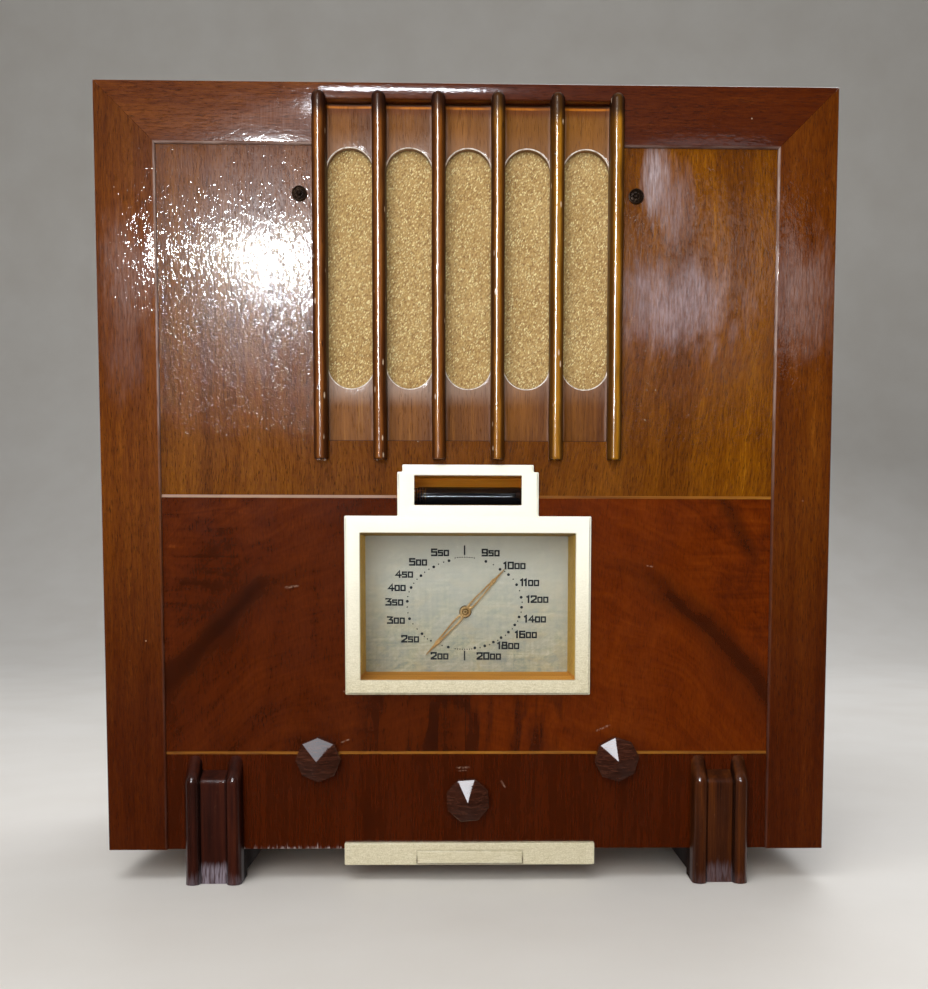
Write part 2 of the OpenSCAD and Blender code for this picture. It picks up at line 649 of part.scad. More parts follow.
module socket_strip() color("#6a3c1c") at() difference() {
  bx(-124, -66, ch_d1, ch_d1 + 2.5, sock_z - 9, sock_z + 9);
  for (x = sock_at) rod(3.2, 230, 240, x, sock_z);
}
module aerial_earth_sockets() color("#c0a060") at() for (x = sock_at)
  difference() {
    union() {
      rod(3.2, ch_d1 - 6, ch_d1 + 4.5, x, sock_z);
      rod(5, ch_d1 + 2.5, ch_d1 + 4.5, x, sock_z);
    }
    rod(2, ch_d1 - 7, ch_d1 + 6, x, sock_z);
  }
module mains_gland() color("#1c1a18") at() difference() {
  union() {
    rod(6.5, ch_d1 - 4, ch_d1 + 4, gland_x, sock_z);
    rod(9, ch_d1 - 4, ch_d1 - ch_t, gland_x, sock_z);
    rod(9, ch_d1, ch_d1 + 4, gland_x, sock_z);
  }
  rod(3.5, ch_d1 - 6, ch_d1 + 6, gland_x, sock_z);
}

cabinet_top();
cabinet_bottom();
cabinet_side_left();
cabinet_side_right();
frame_top_rail();
frame_stile_left();
frame_stile_right();
front_panel();
inlay_lines();
grille_fret();
grille_bars();
panel_bolts();
speaker_cloth();
baffle_board();
bezel();
base_strip();
dial_glass();
dial_box();
indicator_holder();
indicator_tube();
dial_plate();
dial_bracket();
dial_lamps();
pointer();
pointer_spindle();
spindle_bushes();
gang_frame();
gang_stator_vanes();
gang_rotor_vanes();
gang_shaft();
gang_gear();
drive_disc();
tuning_knob();
tuning_spindle();
volume_knob();
volume_spindle();
volume_control();
waveband_knob();
waveband_spindle();
waveband_switch();
foot_brackets();
foot_runners();
chassis();
chassis_bolts();
transformer_core();
transformer_winding();
valve_holders();
valve_bases();
valve_envelopes();
coil_cans();
speaker_basket();
speaker_surround();
speaker_cone();
speaker_magnet();
speaker_bolts();
rear_cover();
rear_cover_screws();
socket_strip();
aerial_earth_sockets();
mains_gland();
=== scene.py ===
import json
import math

import bpy
import bmesh
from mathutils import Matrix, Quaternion, Vector
from mathutils.geometry import tessellate_polygon

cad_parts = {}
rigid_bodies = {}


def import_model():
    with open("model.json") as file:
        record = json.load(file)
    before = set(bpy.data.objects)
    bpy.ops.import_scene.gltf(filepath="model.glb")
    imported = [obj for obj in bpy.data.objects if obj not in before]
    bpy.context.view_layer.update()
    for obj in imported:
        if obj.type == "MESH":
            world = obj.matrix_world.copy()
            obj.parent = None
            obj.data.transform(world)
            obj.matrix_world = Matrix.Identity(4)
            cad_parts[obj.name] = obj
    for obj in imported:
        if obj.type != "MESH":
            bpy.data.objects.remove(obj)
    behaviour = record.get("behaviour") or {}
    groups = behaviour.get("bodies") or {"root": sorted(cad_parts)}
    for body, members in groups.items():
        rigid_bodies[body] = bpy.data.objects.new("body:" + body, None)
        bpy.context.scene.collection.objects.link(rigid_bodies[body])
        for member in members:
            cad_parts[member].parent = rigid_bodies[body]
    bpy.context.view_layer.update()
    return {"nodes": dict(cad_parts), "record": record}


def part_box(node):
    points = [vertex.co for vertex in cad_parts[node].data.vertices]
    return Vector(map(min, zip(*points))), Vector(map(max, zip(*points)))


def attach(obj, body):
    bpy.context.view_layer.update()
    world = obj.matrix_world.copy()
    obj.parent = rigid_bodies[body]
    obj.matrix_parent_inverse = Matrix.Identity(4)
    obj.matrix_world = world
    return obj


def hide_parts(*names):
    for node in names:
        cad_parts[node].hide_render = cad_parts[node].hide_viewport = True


for o in list(bpy.data.objects):
    bpy.data.objects.remove(o)
scene = bpy.context.scene
link = scene.collection.objects.link

# ------------------------------------------------------------------ camera
cam_data = bpy.data.cameras.new("camera")
cam = bpy.data.objects.new("camera", cam_data)
link(cam)
scene.camera = cam
cam.location = (-0.002, -0.8328, 0.1925)
YAW, PITCH, ROLL = math.radians(-1.22), math.radians(-4.218), math.radians(0.118)
forward = Vector((-math.sin(YAW) * math.cos(PITCH), math.cos(YAW) * math.cos(PITCH), math.sin(PITCH)))
cam.rotation_mode = "QUATERNION"
cam.rotation_quaternion = forward.to_track_quat("-Z", "Y") @ Quaternion((0, 0, 1), ROLL)
cam_data.sensor_fit = "AUTO"
cam_data.sensor_width = 36
cam_data.lens = 42.33
cam_data.shift_x = -0.02568
cam_data.shift_y = 0.1638
cam_data.clip_start = 0.01
cam_data.clip_end = 60

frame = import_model()

# ------------------------------------------------------------------ sizes
# millimetres: x to the right, d from the frame's face backwards, z up
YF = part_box("frame_top_rail")[0][1]


def mm(node):
    lo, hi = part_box(node)
    return ([lo[0] * 1000, (lo[1] - YF) * 1000, lo[2] * 1000],
            [hi[0] * 1000, (hi[1] - YF) * 1000, hi[2] * 1000])


Z0 = mm("front_panel")[0][2]
Z1 = mm("cabinet_top")[1][2]
HW = mm("cabinet_top")[1][0]
IX = mm("inlay_lines")[1][0]
IZ = Z1 - (HW - IX)
PS = mm("front_panel")[0][1]
FT = mm("front_panel")[1][1]
GR = mm("grille_fret")[1][0]
GZ0, GZ1 = mm("grille_fret")[0][2], mm("grille_fret")[1][2]
FD = mm("grille_fret")[0][1]
_lo, _hi = mm("pointer_spindle")
DX, DZ = (_lo[0] + _hi[0]) / 2, (_lo[2] + _hi[2]) / 2
KZ = (mm("volume_knob")[0][2] + mm("volume_knob")[1][2]) / 2
KX = (mm("waveband_spindle")[0][0] + mm("waveband_spindle")[1][0]) / 2
TZ = (mm("tuning_spindle")[0][2] + mm("tuning_spindle")[1][2]) / 2
SLOT_W = 28.6
SLOT_H = 143.0
SZC = Z0 + 355
PLATE = mm("dial_plate")[0][1]


def P(v):
    return (v[0] * 0.001, YF + v[1] * 0.001, v[2] * 0.001)


def C(code, k=1.0):
    code = code.lstrip("#")
    out = []
    for i in (0, 2, 4):
        c = int(code[i:i + 2], 16) / 255
        c = c / 12.92 if c <= 0.04045 else ((c + 0.055) / 1.055) ** 2.4
        out.append(min(1.0, c * k))
    return (*out, 1.0)


def wob(t, seed):
    """A smooth made-by-hand unevenness, from -1 to 1."""
    return (math.sin(t * 1.7 + seed * 12.9) + math.sin(t * 3.9 + seed * 7.3) * 0.6
            + math.sin(t * 9.1 + seed * 3.7) * 0.3) / 1.9


# ------------------------------------------------------------------ node helper
class G:
    """A material's node tree. Coordinates are x, depth d and z in millimetres."""

    def __init__(s, name):
        s.mat = bpy.data.materials.new(name)
        s.mat.use_nodes = True
        s.t = s.mat.node_tree
        s.t.nodes.clear()
        s.out = s.new("ShaderNodeOutputMaterial")
        s.b = s.new("ShaderNodeBsdfPrincipled")
        s.t.links.new(s.b.outputs[0], s.out.inputs[0])
        tc = s.new("ShaderNodeTexCoord")
        s.p = s.map(tc.outputs["Object"], (1000, 1000, 1000), (0, -YF * 1000, 0))
        sep = s.new("ShaderNodeSeparateXYZ")
        s.t.links.new(s.p, sep.inputs[0])
        s.x, s.d, s.z = sep.outputs
        s.seed = 0

    def new(s, kind, **props):
        n = s.t.nodes.new(kind)
        for k, v in props.items():
            setattr(n, k, v)
        return n

    def put(s, sock, v):
        if isinstance(v, bpy.types.NodeSocket):
            s.t.links.new(v, sock)
        elif v is not None:
            sock.default_value = v

    def map(s, vec, scale=(1, 1, 1), loc=(0, 0, 0), rot=(0, 0, 0)):
        n = s.new("ShaderNodeMapping")
        s.put(n.inputs["Vector"], vec)
        n.inputs["Scale"].default_value = scale
        n.inputs["Location"].default_value = loc
        n.inputs["Rotation"].default_value = rot
        return n.outputs[0]

    def comb(s, x, y, z):
        n = s.new("ShaderNodeCombineXYZ")
        for i, v in enumerate((x, y, z)):
            s.put(n.inputs[i], v)
        return n.outputs[0]

    def noise(s, size, detail=2.0, rough=0.5, dist=0.0, vec=None, seed=None):
        s.seed += 1
        k = s.seed if seed is None else seed
        if not hasattr(size, "__len__"):
            size = (size,) * 3
        v = s.map(vec or s.p, tuple(1 / a for a in size), (k * 3.71, k * 7.13, k * 5.37))
        n = s.new("ShaderNodeTexNoise")
        s.put(n.inputs["Vector"], v)
        n.inputs["Scale"].default_value = 1.0
        n.inputs["Detail"].default_value = detail
        n.inputs["Roughness"].default_value = rough
        n.inputs["Distortion"].default_value = dist
        return n.outputs[0]

    def vor(s, size, vec=None, rand=1.0, feature="F1", out="Distance"):
        s.seed += 1
        k = s.seed
        if not hasattr(size, "__len__"):
            size = (size,) * 3
        v = s.map(vec or s.p, tuple(1 / a for a in size), (k * 2.71, k * 4.13, k * 6.37))
        n = s.new("ShaderNodeTexVoronoi", feature=feature)
        s.put(n.inputs["Vector"], v)
        n.inputs["Scale"].default_value = 1.0
        n.inputs["Randomness"].default_value = rand
        return n.outputs[out]

    def m(s, op, a, b=None, c=None, clamp=False):
        n = s.new("ShaderNodeMath", operation=op, use_clamp=clamp)
        for i, v in enumerate((a, b, c)):
            if v is not None:
                s.put(n.inputs[i], v)
        return n.outputs[0]

    def rng(s, v, a, b, c=0.0, d=1.0, smooth=True):
        n = s.new("ShaderNodeMapRange", interpolation_type="SMOOTHSTEP" if smooth else "LINEAR")
        n.clamp = True
        for i, w in enumerate((v, a, b, c, d)):
            s.put(n.inputs[i], w)
        return n.outputs[0]

    def mix(s, f, a, b, blend="MIX"):
        n = s.new("ShaderNodeMix", data_type="RGBA", blend_type=blend)
        s.put(n.inputs[0], f)
        s.put(n.inputs[6], a)
        s.put(n.inputs[7], b)
        return n.outputs[2]

    def ramp(s, f, stops):
        n = s.new("ShaderNodeValToRGB")
        s.put(n.inputs[0], f)
        e = n.color_ramp.elements
        while len(e) < len(stops):
            e.new(0.5)
        for i, (pos, col) in enumerate(stops):
            e[i].position = pos
            e[i].color = C(col) if isinstance(col, str) else col
        return n.outputs[0]

    def bump(s, h, dist, strength=1.0, normal=None):
        n = s.new("ShaderNodeBump")
        n.inputs["Strength"].default_value = strength
        n.inputs["Distance"].default_value = dist * 0.001
        s.put(n.inputs["Height"], h)
        if normal is not None:
            s.put(n.inputs["Normal"], normal)
        return n.outputs[0]

    def add(s, *terms):
        """Sum of (socket, weight) pairs, and of plain sockets."""
        out = None
        for t in terms:
            v = s.m("MULTIPLY", t[0], t[1]) if isinstance(t, tuple) else t
            out = v if out is None else s.m("ADD", out, v)
        return out

    def set(s, **kw):
        names = {"base": "Base Color", "rough": "Roughness", "metal": "Metallic", "coat": "Coat Weight",
                 "coat_rough": "Coat Roughness", "coat_ior": "Coat IOR", "ior": "IOR", "normal": "Normal",
                 "coat_normal": "Coat Normal", "spec": "Specular IOR Level", "sheen": "Sheen Weight",
                 "sheen_rough": "Sheen Roughness", "alpha": "Alpha", "trans": "Transmission Weight",
                 "aniso": "Anisotropic", "sss": "Subsurface Weight", "spec_tint": "Specular Tint",
                 "coat_tint": "Coat Tint"}
        for k, v in kw.items():
            s.put(s.b.inputs[names[k]], v)
        return s


def along(axis, a, length):
    return {"x": (length, a, a), "d": (a, length, a), "z": (a, a, length)}[axis]


def grain(g, axis, broad=26, streak=4.5, fine=0.7, dist=0.5, vec=None):
    """Wood figure from 0 to 1, and pores from 0 to 1, for a grain that runs along axis."""
    b = g.noise(along(axis, broad, broad * 9), 3, 0.55, dist, vec)
    s = g.noise(along(axis, streak, streak * 34), 4, 0.62, dist * 0.5, vec)
    f = g.noise(along(axis, fine, fine * 40), 3, 0.6, 0, vec)
    fac = g.add((b, 0.40), (s, 0.38), (f, 0.22))
    fac = g.rng(fac, 0.33, 0.67, 0, 1, False)
    pore = g.rng(g.noise(along(axis, 0.42, 7.5), 1.5, 0.5, 0, vec), 0.60, 0.70)
    return fac, pore, f


def varnish(g, rough=0.42, coat=0.9, coat_rough=0.13, peel=0.10, pore=None, fibre=None, size=1.7):
    """A worn, glossy coat over the wood: broad ripple, orange peel and open pores."""
    r = g.noise(34, 2, 0.5)
    g.set(rough=g.rng(r, 0.3, 0.7, rough - 0.07, rough + 0.09), coat=coat, coat_rough=coat_rough, spec=0.22)
    h = g.noise(size, 2, 0.55)
    h2 = g.noise(9, 2, 0.5)
    terms = [(h, 1.0), (h2, 1.6)]
    if pore is not None:
        terms.append((pore, -0.35))
    hh = g.add(*terms)
    n = g.bump(hh, peel)
    g.set(coat_normal=n)
    if fibre is not None:
        g.set(normal=g.bump(g.add((fibre, 1.0), (pore, -1.0)) if pore is not None else fibre, 0.10))
    else:
        g.set(normal=n)


def wood(name, stops, axis="z", broad=26, streak=4.5, pore_dark=0.45, tint=None, **kw):
    g = G(name)
    fac, pore, fibre = grain(g, axis, broad, streak)
    col = g.ramp(fac, stops)
    if tint is not None:
        col = g.mix(g.rng(g.noise(70, 2), 0.35, 0.65), col, g.mix(1.0, col, C(tint), "MULTIPLY"))
    col = g.mix(g.m("MULTIPLY", pore, pore_dark), col, C(stops[0][1] if isinstance(stops[0][1], str) else "#1a0a04", 0.5))
    g.set(base=col)
    g.fac, g.pore, g.fibre, g.col = fac, pore, fibre, col
    varnish(g, pore=pore, fibre=fibre, **kw)
    return g


# ------------------------------------------------------------------ mesh helper
class Build:
    def __init__(s):
        s.v, s.f, s.mi = [], [], []

    def verts(s, pts):
        n = len(s.v)
        s.v.extend(pts)
        return list(range(n, n + len(pts)))

    def face(s, ids, mi=0):
        s.f.append(ids)
        s.mi.append(mi)

    def strip(s, a, b, closed=True, mi=0):
        n = len(a)
        for i in range(n if closed else n - 1):
            j = (i + 1) % n
            s.face([a[i], a[j], b[j], b[i]], mi)

    def loft(s, rings, closed=True, cap0=True, cap1=True, mi=0):
        ids = [s.verts(r) for r in rings]
        for a, b in zip(ids, ids[1:]):
            s.strip(a, b, closed, mi)
        if cap0:
            s.face(list(reversed(ids[0])), mi)
        if cap1:
            s.face(list(ids[-1]), mi)
        return ids

    def fill(s, loops, to3, mi=0):
        """A flat face with holes: loops of (u, w), the outer one first."""
        base = len(s.v)
        flat = []
        for lp in loops:
            flat.extend(lp)
        s.v.extend([to3(u, w) for u, w in flat])
        for tri in tessellate_polygon([[Vector((u, w, 0)) for u, w in lp] for lp in loops]):
            s.face([base + i for i in tri], mi)

    def make(s, name, mats, smooth=32, body="root", replaces=(), merge=1e-6):
        me = bpy.data.meshes.new(name)
        me.from_pydata([P(v) for v in s.v], [], s.f)
        for p, mi in zip(me.polygons, s.mi):
            p.material_index = mi
        bm = bmesh.new()
        bm.from_mesh(me)
        if merge:
            bmesh.ops.remove_doubles(bm, verts=bm.verts, dist=merge)
        bmesh.ops.dissolve_degenerate(bm, edges=bm.edges, dist=1e-7)
        bmesh.ops.recalc_face_normals(bm, faces=bm.faces)
        bm.to_mesh(me)
        bm.free()
        for p in me.polygons:
            p.use_smooth = smooth > 0
        if smooth > 0:
            me.set_sharp_from_angle(angle=math.radians(smooth))
        o = bpy.data.objects.new(name, me)
        link(o)
        for m in (mats if isinstance(mats, (list, tuple)) else [mats]):
            me.materials.append(m.mat if isinstance(m, G) else m)
        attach(o, body)
        if replaces:
            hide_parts(*replaces)
        return o


def arc(cx, cz, r, a0, a1, n, rx=None):
    """Points on an arc, angles in degrees, 0 to the right and 90 up."""
    return [(cx + (rx or r) * math.cos(math.radians(a0 + (a1 - a0) * i / n)),
             cz + r * math.sin(math.radians(a0 + (a1 - a0) * i / n))) for i in range(n + 1)]


def round_poly(pts, r, n=4):
    """Rounds each corner of a counter-clockwise polygon with right-angled corners."""
    out = []
    k = len(pts)
    for i in range(k):
        p0, p1, p2 = Vector(pts[i - 1]), Vector(pts[i]), Vector(pts[(i + 1) % k])
        a, b = (p0 - p1).normalized(), (p2 - p1).normalized()
        rr = min(r, (p0 - p1).length * 0.45, (p2 - p1).length * 0.45)
        s, e, c = p1 + a * rr, p1 + b * rr, p1 + (a + b) * rr
        for j in range(n + 1):
            t = j / n * math.pi / 2
            q = c + (s - c) * math.cos(t) + (e - c) * math.sin(t)
            out.append((q.x, q.y))
    return out


def inset(pts, d):
    """Moves a counter-clockwise outline inwards by d."""
    out = []
    k = len(pts)
    for i in range(k):
        p0, p1, p2 = Vector(pts[i - 1]), Vector(pts[i]), Vector(pts[(i + 1) % k])
        e1, e2 = (p1 - p0), (p2 - p1)
        if e1.length < 1e-9 or e2.length < 1e-9:
            out.append(tuple(p1))
            continue
        e1.normalize()
        e2.normalize()
        n1, n2 = Vector((-e1.y, e1.x)), Vector((-e2.y, e2.x))
        m = (n1 + n2)
        m = m / max(0.3, m.dot(n1))
        out.append((p1.x + m.x * d, p1.y + m.y * d))
    return out


def plate(b, outer, holes, d_face, d_back, r=0.5, n=3, steps=(), hole_r=None, mi=0, back=True):
    """A flat plate, facing the front, with rounded edges. outer and holes are loops of (x, z).
    steps are (inset, depth) pairs between the outer side and the face."""
    hr = r if hole_r is None else hole_r
    prof = [(0.0, d_back)]
    if steps:
        prof += list(steps)
        last = steps[-1][0]
    else:
        last = 0.0
    prof += [(last + r * (1 - math.cos(t)), d_face + r * (1 - math.sin(t)))
             for t in [i / n * math.pi / 2 for i in range(n + 1)]]
    rings = [[(x, dep, z) for x, z in inset(outer, off)] for off, dep in prof]
    b.loft(rings, True, False, False, mi)
    loops = [inset(outer, prof[-1][0])]
    for h in holes:
        hp = [(0.0, d_back)] + [(-hr * (1 - math.cos(t)), d_face + hr * (1 - math.sin(t)))
                                for t in [i / n * math.pi / 2 for i in range(n + 1)]]
        b.loft([[(x, dep, z) for x, z in inset(h, off)] for off, dep in hp], True, False, False, mi)
        loops.append(inset(h, hp[-1][0]))
    b.fill(loops, lambda u, w: (u, d_face, w), mi)
    if back:
        b.fill([outer] + holes, lambda u, w: (u, d_back, w), mi)


def rect(x0, x1, z0, z1):
    return [(x0, z0), (x1, z0), (x1, z1), (x0, z1)]


# ------------------------------------------------------------------ materials
def painted_sheen(g, col, x, z, size_x, size_z, amount, colour, seed_size=(9, 9, 26)):
    """A painted sheen: a soft pale reflection in the polish around one place."""
    dx = g.m("DIVIDE", g.m("SUBTRACT", g.x, x), size_x)
    dz = g.m("DIVIDE", g.m("SUBTRACT", g.z, z), size_z)
    r = g.m("SQRT", g.add(g.m("MULTIPLY", dx, dx), g.m("MULTIPLY", dz, dz)))
    r = g.add(r, (g.m("SUBTRACT", g.noise(seed_size, 3, 0.6, 0.6), 0.5), 1.5))
    f = g.m("MULTIPLY", g.rng(r, 1.15, 0.1), g.rng(g.noise((1.1, 3, 9), 3, 0.6), 0.30, 0.72, 0.35, 1.0))
    return g.mix(g.m("MULTIPLY", f, amount), col, C(colour))


def front_veneer():
    g = G("panel_veneer")
    right = g.rng(g.x, -12, 12)
    w = g.m("SUBTRACT", g.z, Z0)
    # upper zone: vertical grain that leans a little on the right
    lean = g.m("MULTIPLY", g.m("MULTIPLY", g.m("SUBTRACT", g.z, Z0 + 330), -0.11), g.m("MULTIPLY", right, g.rng(g.z, Z0 + 420, Z0 + 320)))
    wav = g.m("MULTIPLY", g.m("SUBTRACT", g.noise((40, 40, 60), 2), 0.5), 9)
    xv = g.comb(g.add(g.x, lean, wav), g.d, g.z)
    b1 = g.noise((21, 20, 240), 3, 0.55, 0.4, xv)
    s1 = g.noise((3.4, 5, 110), 4, 0.6, 0.2, xv)
    f1 = g.noise((0.8, 3, 8), 3, 0.65, 0, xv)
    fac = g.rng(g.add((b1, 0.34), (s1, 0.26), (f1, 0.40)), 0.30, 0.70, 0, 1, False)
    pore = g.rng(g.noise((0.45, 3, 4.2), 2, 0.55, 0, xv), 0.55, 0.68)
    fibre = f1
    top_l = g.ramp(fac, [(0.0, "#432005"), (0.4, "#5c2f06"), (0.75, "#71400a"), (1.0, "#865213")])
    top_r = g.ramp(fac, [(0.0, "#401c00"), (0.4, "#5f3102"), (0.75, "#7b4703"), (1.0, "#9c640a")])
    redder = g.rng(g.add(g.x, (g.noise(45, 2), 70)), 120, 190, 1.0, 0.0)
    top_r = g.mix(g.m("MULTIPLY", redder, 0.7), top_r, top_l)
    top = g.mix(right, top_l, top_r)
    # lower zone: dark red-brown, upright grain
    b2 = g.noise((16, 16, 150), 3, 0.55, 0.5)
    s2 = g.noise((2.8, 4, 70), 3, 0.6, 0.3)
    f2 = g.noise((0.8, 3, 12), 3, 0.6)
    facb = g.rng(g.add((b2, 0.34), (s2, 0.30), (f2, 0.36)), 0.28, 0.72, 0, 1, False)
    bottom = g.ramp(facb, [(0.0, "#2c0c00"), (0.4, "#3c1200"), (0.75, "#491801"), (1.0, "#5c2202")])
    # middle zone: two leaves opened like a book, with a dark plume in each
    u = g.m("ABSOLUTE", g.m("ADD", g.x, 1.6))
    bend = g.m("SMOOTH_MAX", g.m("SUBTRACT", u, 128), 0.0, 22.0)
    line = g.add((g.m("SUBTRACT", u, 100), -0.30), (bend, -0.80))
    swirl = g.add((g.m("SUBTRACT", g.noise(52, 2), 0.5), 24), (g.m("SUBTRACT", g.noise(15, 3), 0.5), 6))
    pl = g.m("SUBTRACT", g.add(w, g.m("MULTIPLY", line, -1.0), swirl), 172)
    flow = g.comb(u, g.d, pl)
    m1 = g.noise((60, 30, 11), 4, 0.55, 0.8, flow)
    m2 = g.noise((26, 30, 2.4), 3, 0.6, 0.3, flow)
    m3 = g.noise((34, 30, 70), 3, 0.55, 1.0)
    m4 = g.noise((1.1, 3, 5.0), 3, 0.65)
    rip = g.noise((30, 30, 5.5), 2, 0.5, 1.0)
    ripm = g.m("MULTIPLY", g.rng(pl, 6, 34), g.rng(u, 105, 150))
    fm = g.add((m1, 0.28), (m2, 0.14), (m3, 0.36), (m4, 0.22))
    fm = g.add(fm, (g.m("MULTIPLY", g.m("SUBTRACT", rip, 0.5), ripm), 0.36))
    fm = g.rng(fm, 0.31, 0.69, 0, 1, False)
    mid_l = g.ramp(fm, [(0.0, "#2e0d00"), (0.45, "#471801"), (0.8, "#562103"), (1.0, "#6e3208")])
    mid_r = g.ramp(fm, [(0.0, "#3c1200"), (0.45, "#581f00"), (0.8, "#682a01"), (1.0, "#7f3e04")])
    mid = g.mix(right, mid_l, mid_r)
    width = g.rng(u, 85, 150, 12, 19)
    core = g.m("SUBTRACT", 1.0, g.rng(g.m("DIVIDE", g.m("ABSOLUTE", pl), width), 0.0, 1.0))
    core = g.m("MULTIPLY", core, g.rng(u, 84, 130, 0.1, 1.0))
    core = g.m("MULTIPLY", core, g.rng(g.noise((24, 30, 12), 3, 0.6, 0.5, flow), 0.25, 0.6, 0.5, 1.0))
    mid = g.mix(g.m("MULTIPLY", core, 0.72), mid, C("#220a02"))
    arm = g.m("SUBTRACT", 1.0, g.rng(g.m("ABSOLUTE", g.m("SUBTRACT", g.add(u, (w, 0.54), (swirl, 0.5)), 275)), 0, 9))
    arm = g.m("MULTIPLY", arm, g.m("MULTIPLY", g.rng(w, 172, 188), right))
    mid = g.mix(g.m("MULTIPLY", arm, 0.6), mid, C("#2a0e02"))
    low = g.m("MULTIPLY", g.rng(pl, -4, -46, 1.0, 0.0), g.m("MULTIPLY", g.rng(u, 120, 172), g.rng(pl, 4, -6)))
    mid = g.mix(g.m("MULTIPLY", low, 0.4), mid, C("#2a0c02"))
    patch = g.rng(g.noise((9, 30, 60), 3, 0.55, 0.4), 0.46, 0.62)
    patch = g.m("MULTIPLY", patch, g.m("MULTIPLY", g.rng(u, 78, 48), g.rng(w, 106, 88)))
    mid = g.mix(g.m("MULTIPLY", patch, 0.6), mid, C("#200a05"))
    seam = g.m("MULTIPLY", g.rng(g.m("ABSOLUTE", g.m("ADD", g.x, 1.6)), 0.5, 0.1), g.rng(w, 96, 92))
    mid = g.mix(g.m("MULTIPLY", seam, 0.55), mid, C("#180703"))
    is_top = g.rng(w, 217.6, 218.2)
    is_bot = g.rng(w, 60.6, 60.0)
    col = g.mix(is_top, mid, top)
    col = g.mix(is_bot, col, bottom)
    p_all = g.m("MULTIPLY", pore, g.rng(is_top, 0, 1, 0.30, 0.55))
    col = g.mix(p_all, col, C("#1e0b02"))
    # wear: rubbed lower edge, small scratches and knocks
    edge = g.m("MULTIPLY", g.rng(g.add(w, (g.noise((0.9, 5, 7), 2), 9.0)), 6.3, 3.2),
               g.m("MULTIPLY", g.rng(g.x, -152, -138), g.rng(g.x, -66, -84)))
    edge = g.m("MULTIPLY", edge, g.rng(g.noise((1.6, 4, 12), 2), 0.42, 0.56))
    col = g.mix(g.m("MULTIPLY", edge, 0.9), col, C("#b8aaa8"))
    dots = g.m("MULTIPLY", g.rng(g.vor((38, 38, 38)), 0.022, 0.010), 0.45)
    col = g.mix(dots, col, C("#b09078"))
    marks = None
    for cx, cz, ang, ln, wd in ((84.0, 75.6, 24, 5.5, 0.8), (-3.0, 50.9, 2, 5.0, 0.8), (-3.4, 49.0, 2, 3.2, 0.5), (-76, 67.6, 22, 3.6, 0.6),
                                (22.0, 40.5, -58, 3.0, 0.7), (112, 176, -10, 2.4, 0.6), (-75, 98, -20, 2.4, 0.5), (-108, 163, 8, 5.0, 0.9)):
        t = math.radians(ang)
        dx, dz = g.m("SUBTRACT", g.x, cx), g.m("SUBTRACT", w, cz)
        aa = g.add((dx, math.cos(t)), (dz, math.sin(t)))
        cc = g.add((dx, -math.sin(t)), (dz, math.cos(t)))
        e = g.m("MULTIPLY", g.rng(g.m("ABSOLUTE", aa), ln, ln * 0.5), g.rng(g.m("ABSOLUTE", cc), wd, wd * 0.3))
        marks = e if marks is None else g.m("MAXIMUM", marks, e)
    marks = g.m("MULTIPLY", marks, g.rng(g.noise(1.2, 3, 0.65), 0.40, 0.62))
    col = g.mix(g.m("MULTIPLY", marks, 0.55), col, C("#a88c78"))
    # painted sheen: pale reflections in the old polish
    col = painted_sheen(g, col, 124, Z0 + 334, 46, 32, 0.66, "#a6949a")
    col = painted_sheen(g, col, 113, Z0 + 408, 9, 30, 0.84, "#b4a8ae", (5, 9, 40))
    col = painted_sheen(g, col, 124, Z0 + 392, 13, 30, 0.44, "#a08e92", (7, 9, 40))
    col = painted_sheen(g, col, -116, Z0 + 410, 72, 24, 0.14, "#8a7678")
    g.set(base=col)
    haze = g.noise((30, 30, 42), 3, 0.55, 0.6)
    g.set(rough=g.rng(haze, 0.35, 0.65, 0.20, 0.25), coat=0.95, coat_rough=0.060, spec=0.23)
    up = g.add((g.noise((0.85, 2, 4.2), 1, 0.5), 1.30), (g.noise((1.0, 2, 1.8), 1, 0.5), 0.55))
    dim = g.add((g.noise(0.85, 1, 0.5), 2.5), (g.noise(0.7, 1, 0.5), 0.4))
    upper = g.rng(g.add(w, (g.noise(16, 2), 26)), 330, 362)
    h = g.add((g.m("MULTIPLY", up, upper), 1.0),
              (g.m("MULTIPLY", dim, g.m("SUBTRACT", 1.0, upper)), 1.35),
              (g.noise(26, 1), 1.0))
    amp = g.m("MULTIPLY", g.rng(g.add(w, (g.noise(22, 2), 24)), 246, 306, 0.12, 1.0), g.rng(g.noise((3.0, 3, 6.0), 2, 0.6), 0.42, 0.62, 0.30, 1.35))
    g.set(coat_normal=g.bump(g.m("MULTIPLY", g.m("SUBTRACT", h, 1.2), amp), 0.100))
    g.set(normal=g.bump(g.add((fibre, 0.8), (p_all, -1.0), (h, 0.3)), 0.05))
    return g


M = {}
M["panel_veneer"] = front_veneer()
M["side_veneer"] = wood("side_veneer", [(0, "#38160a"), (0.45, "#5a2a10"), (0.8, "#6e3814"), (1, "#84481c")], "z", 30, 5, tint="#c8a898")
M["top_veneer"] = wood("top_veneer", [(0, "#38160a"), (0.45, "#5a2a10"), (0.8, "#6e3814"), (1, "#84481c")], "x", 30, 5, tint="#c8a898")


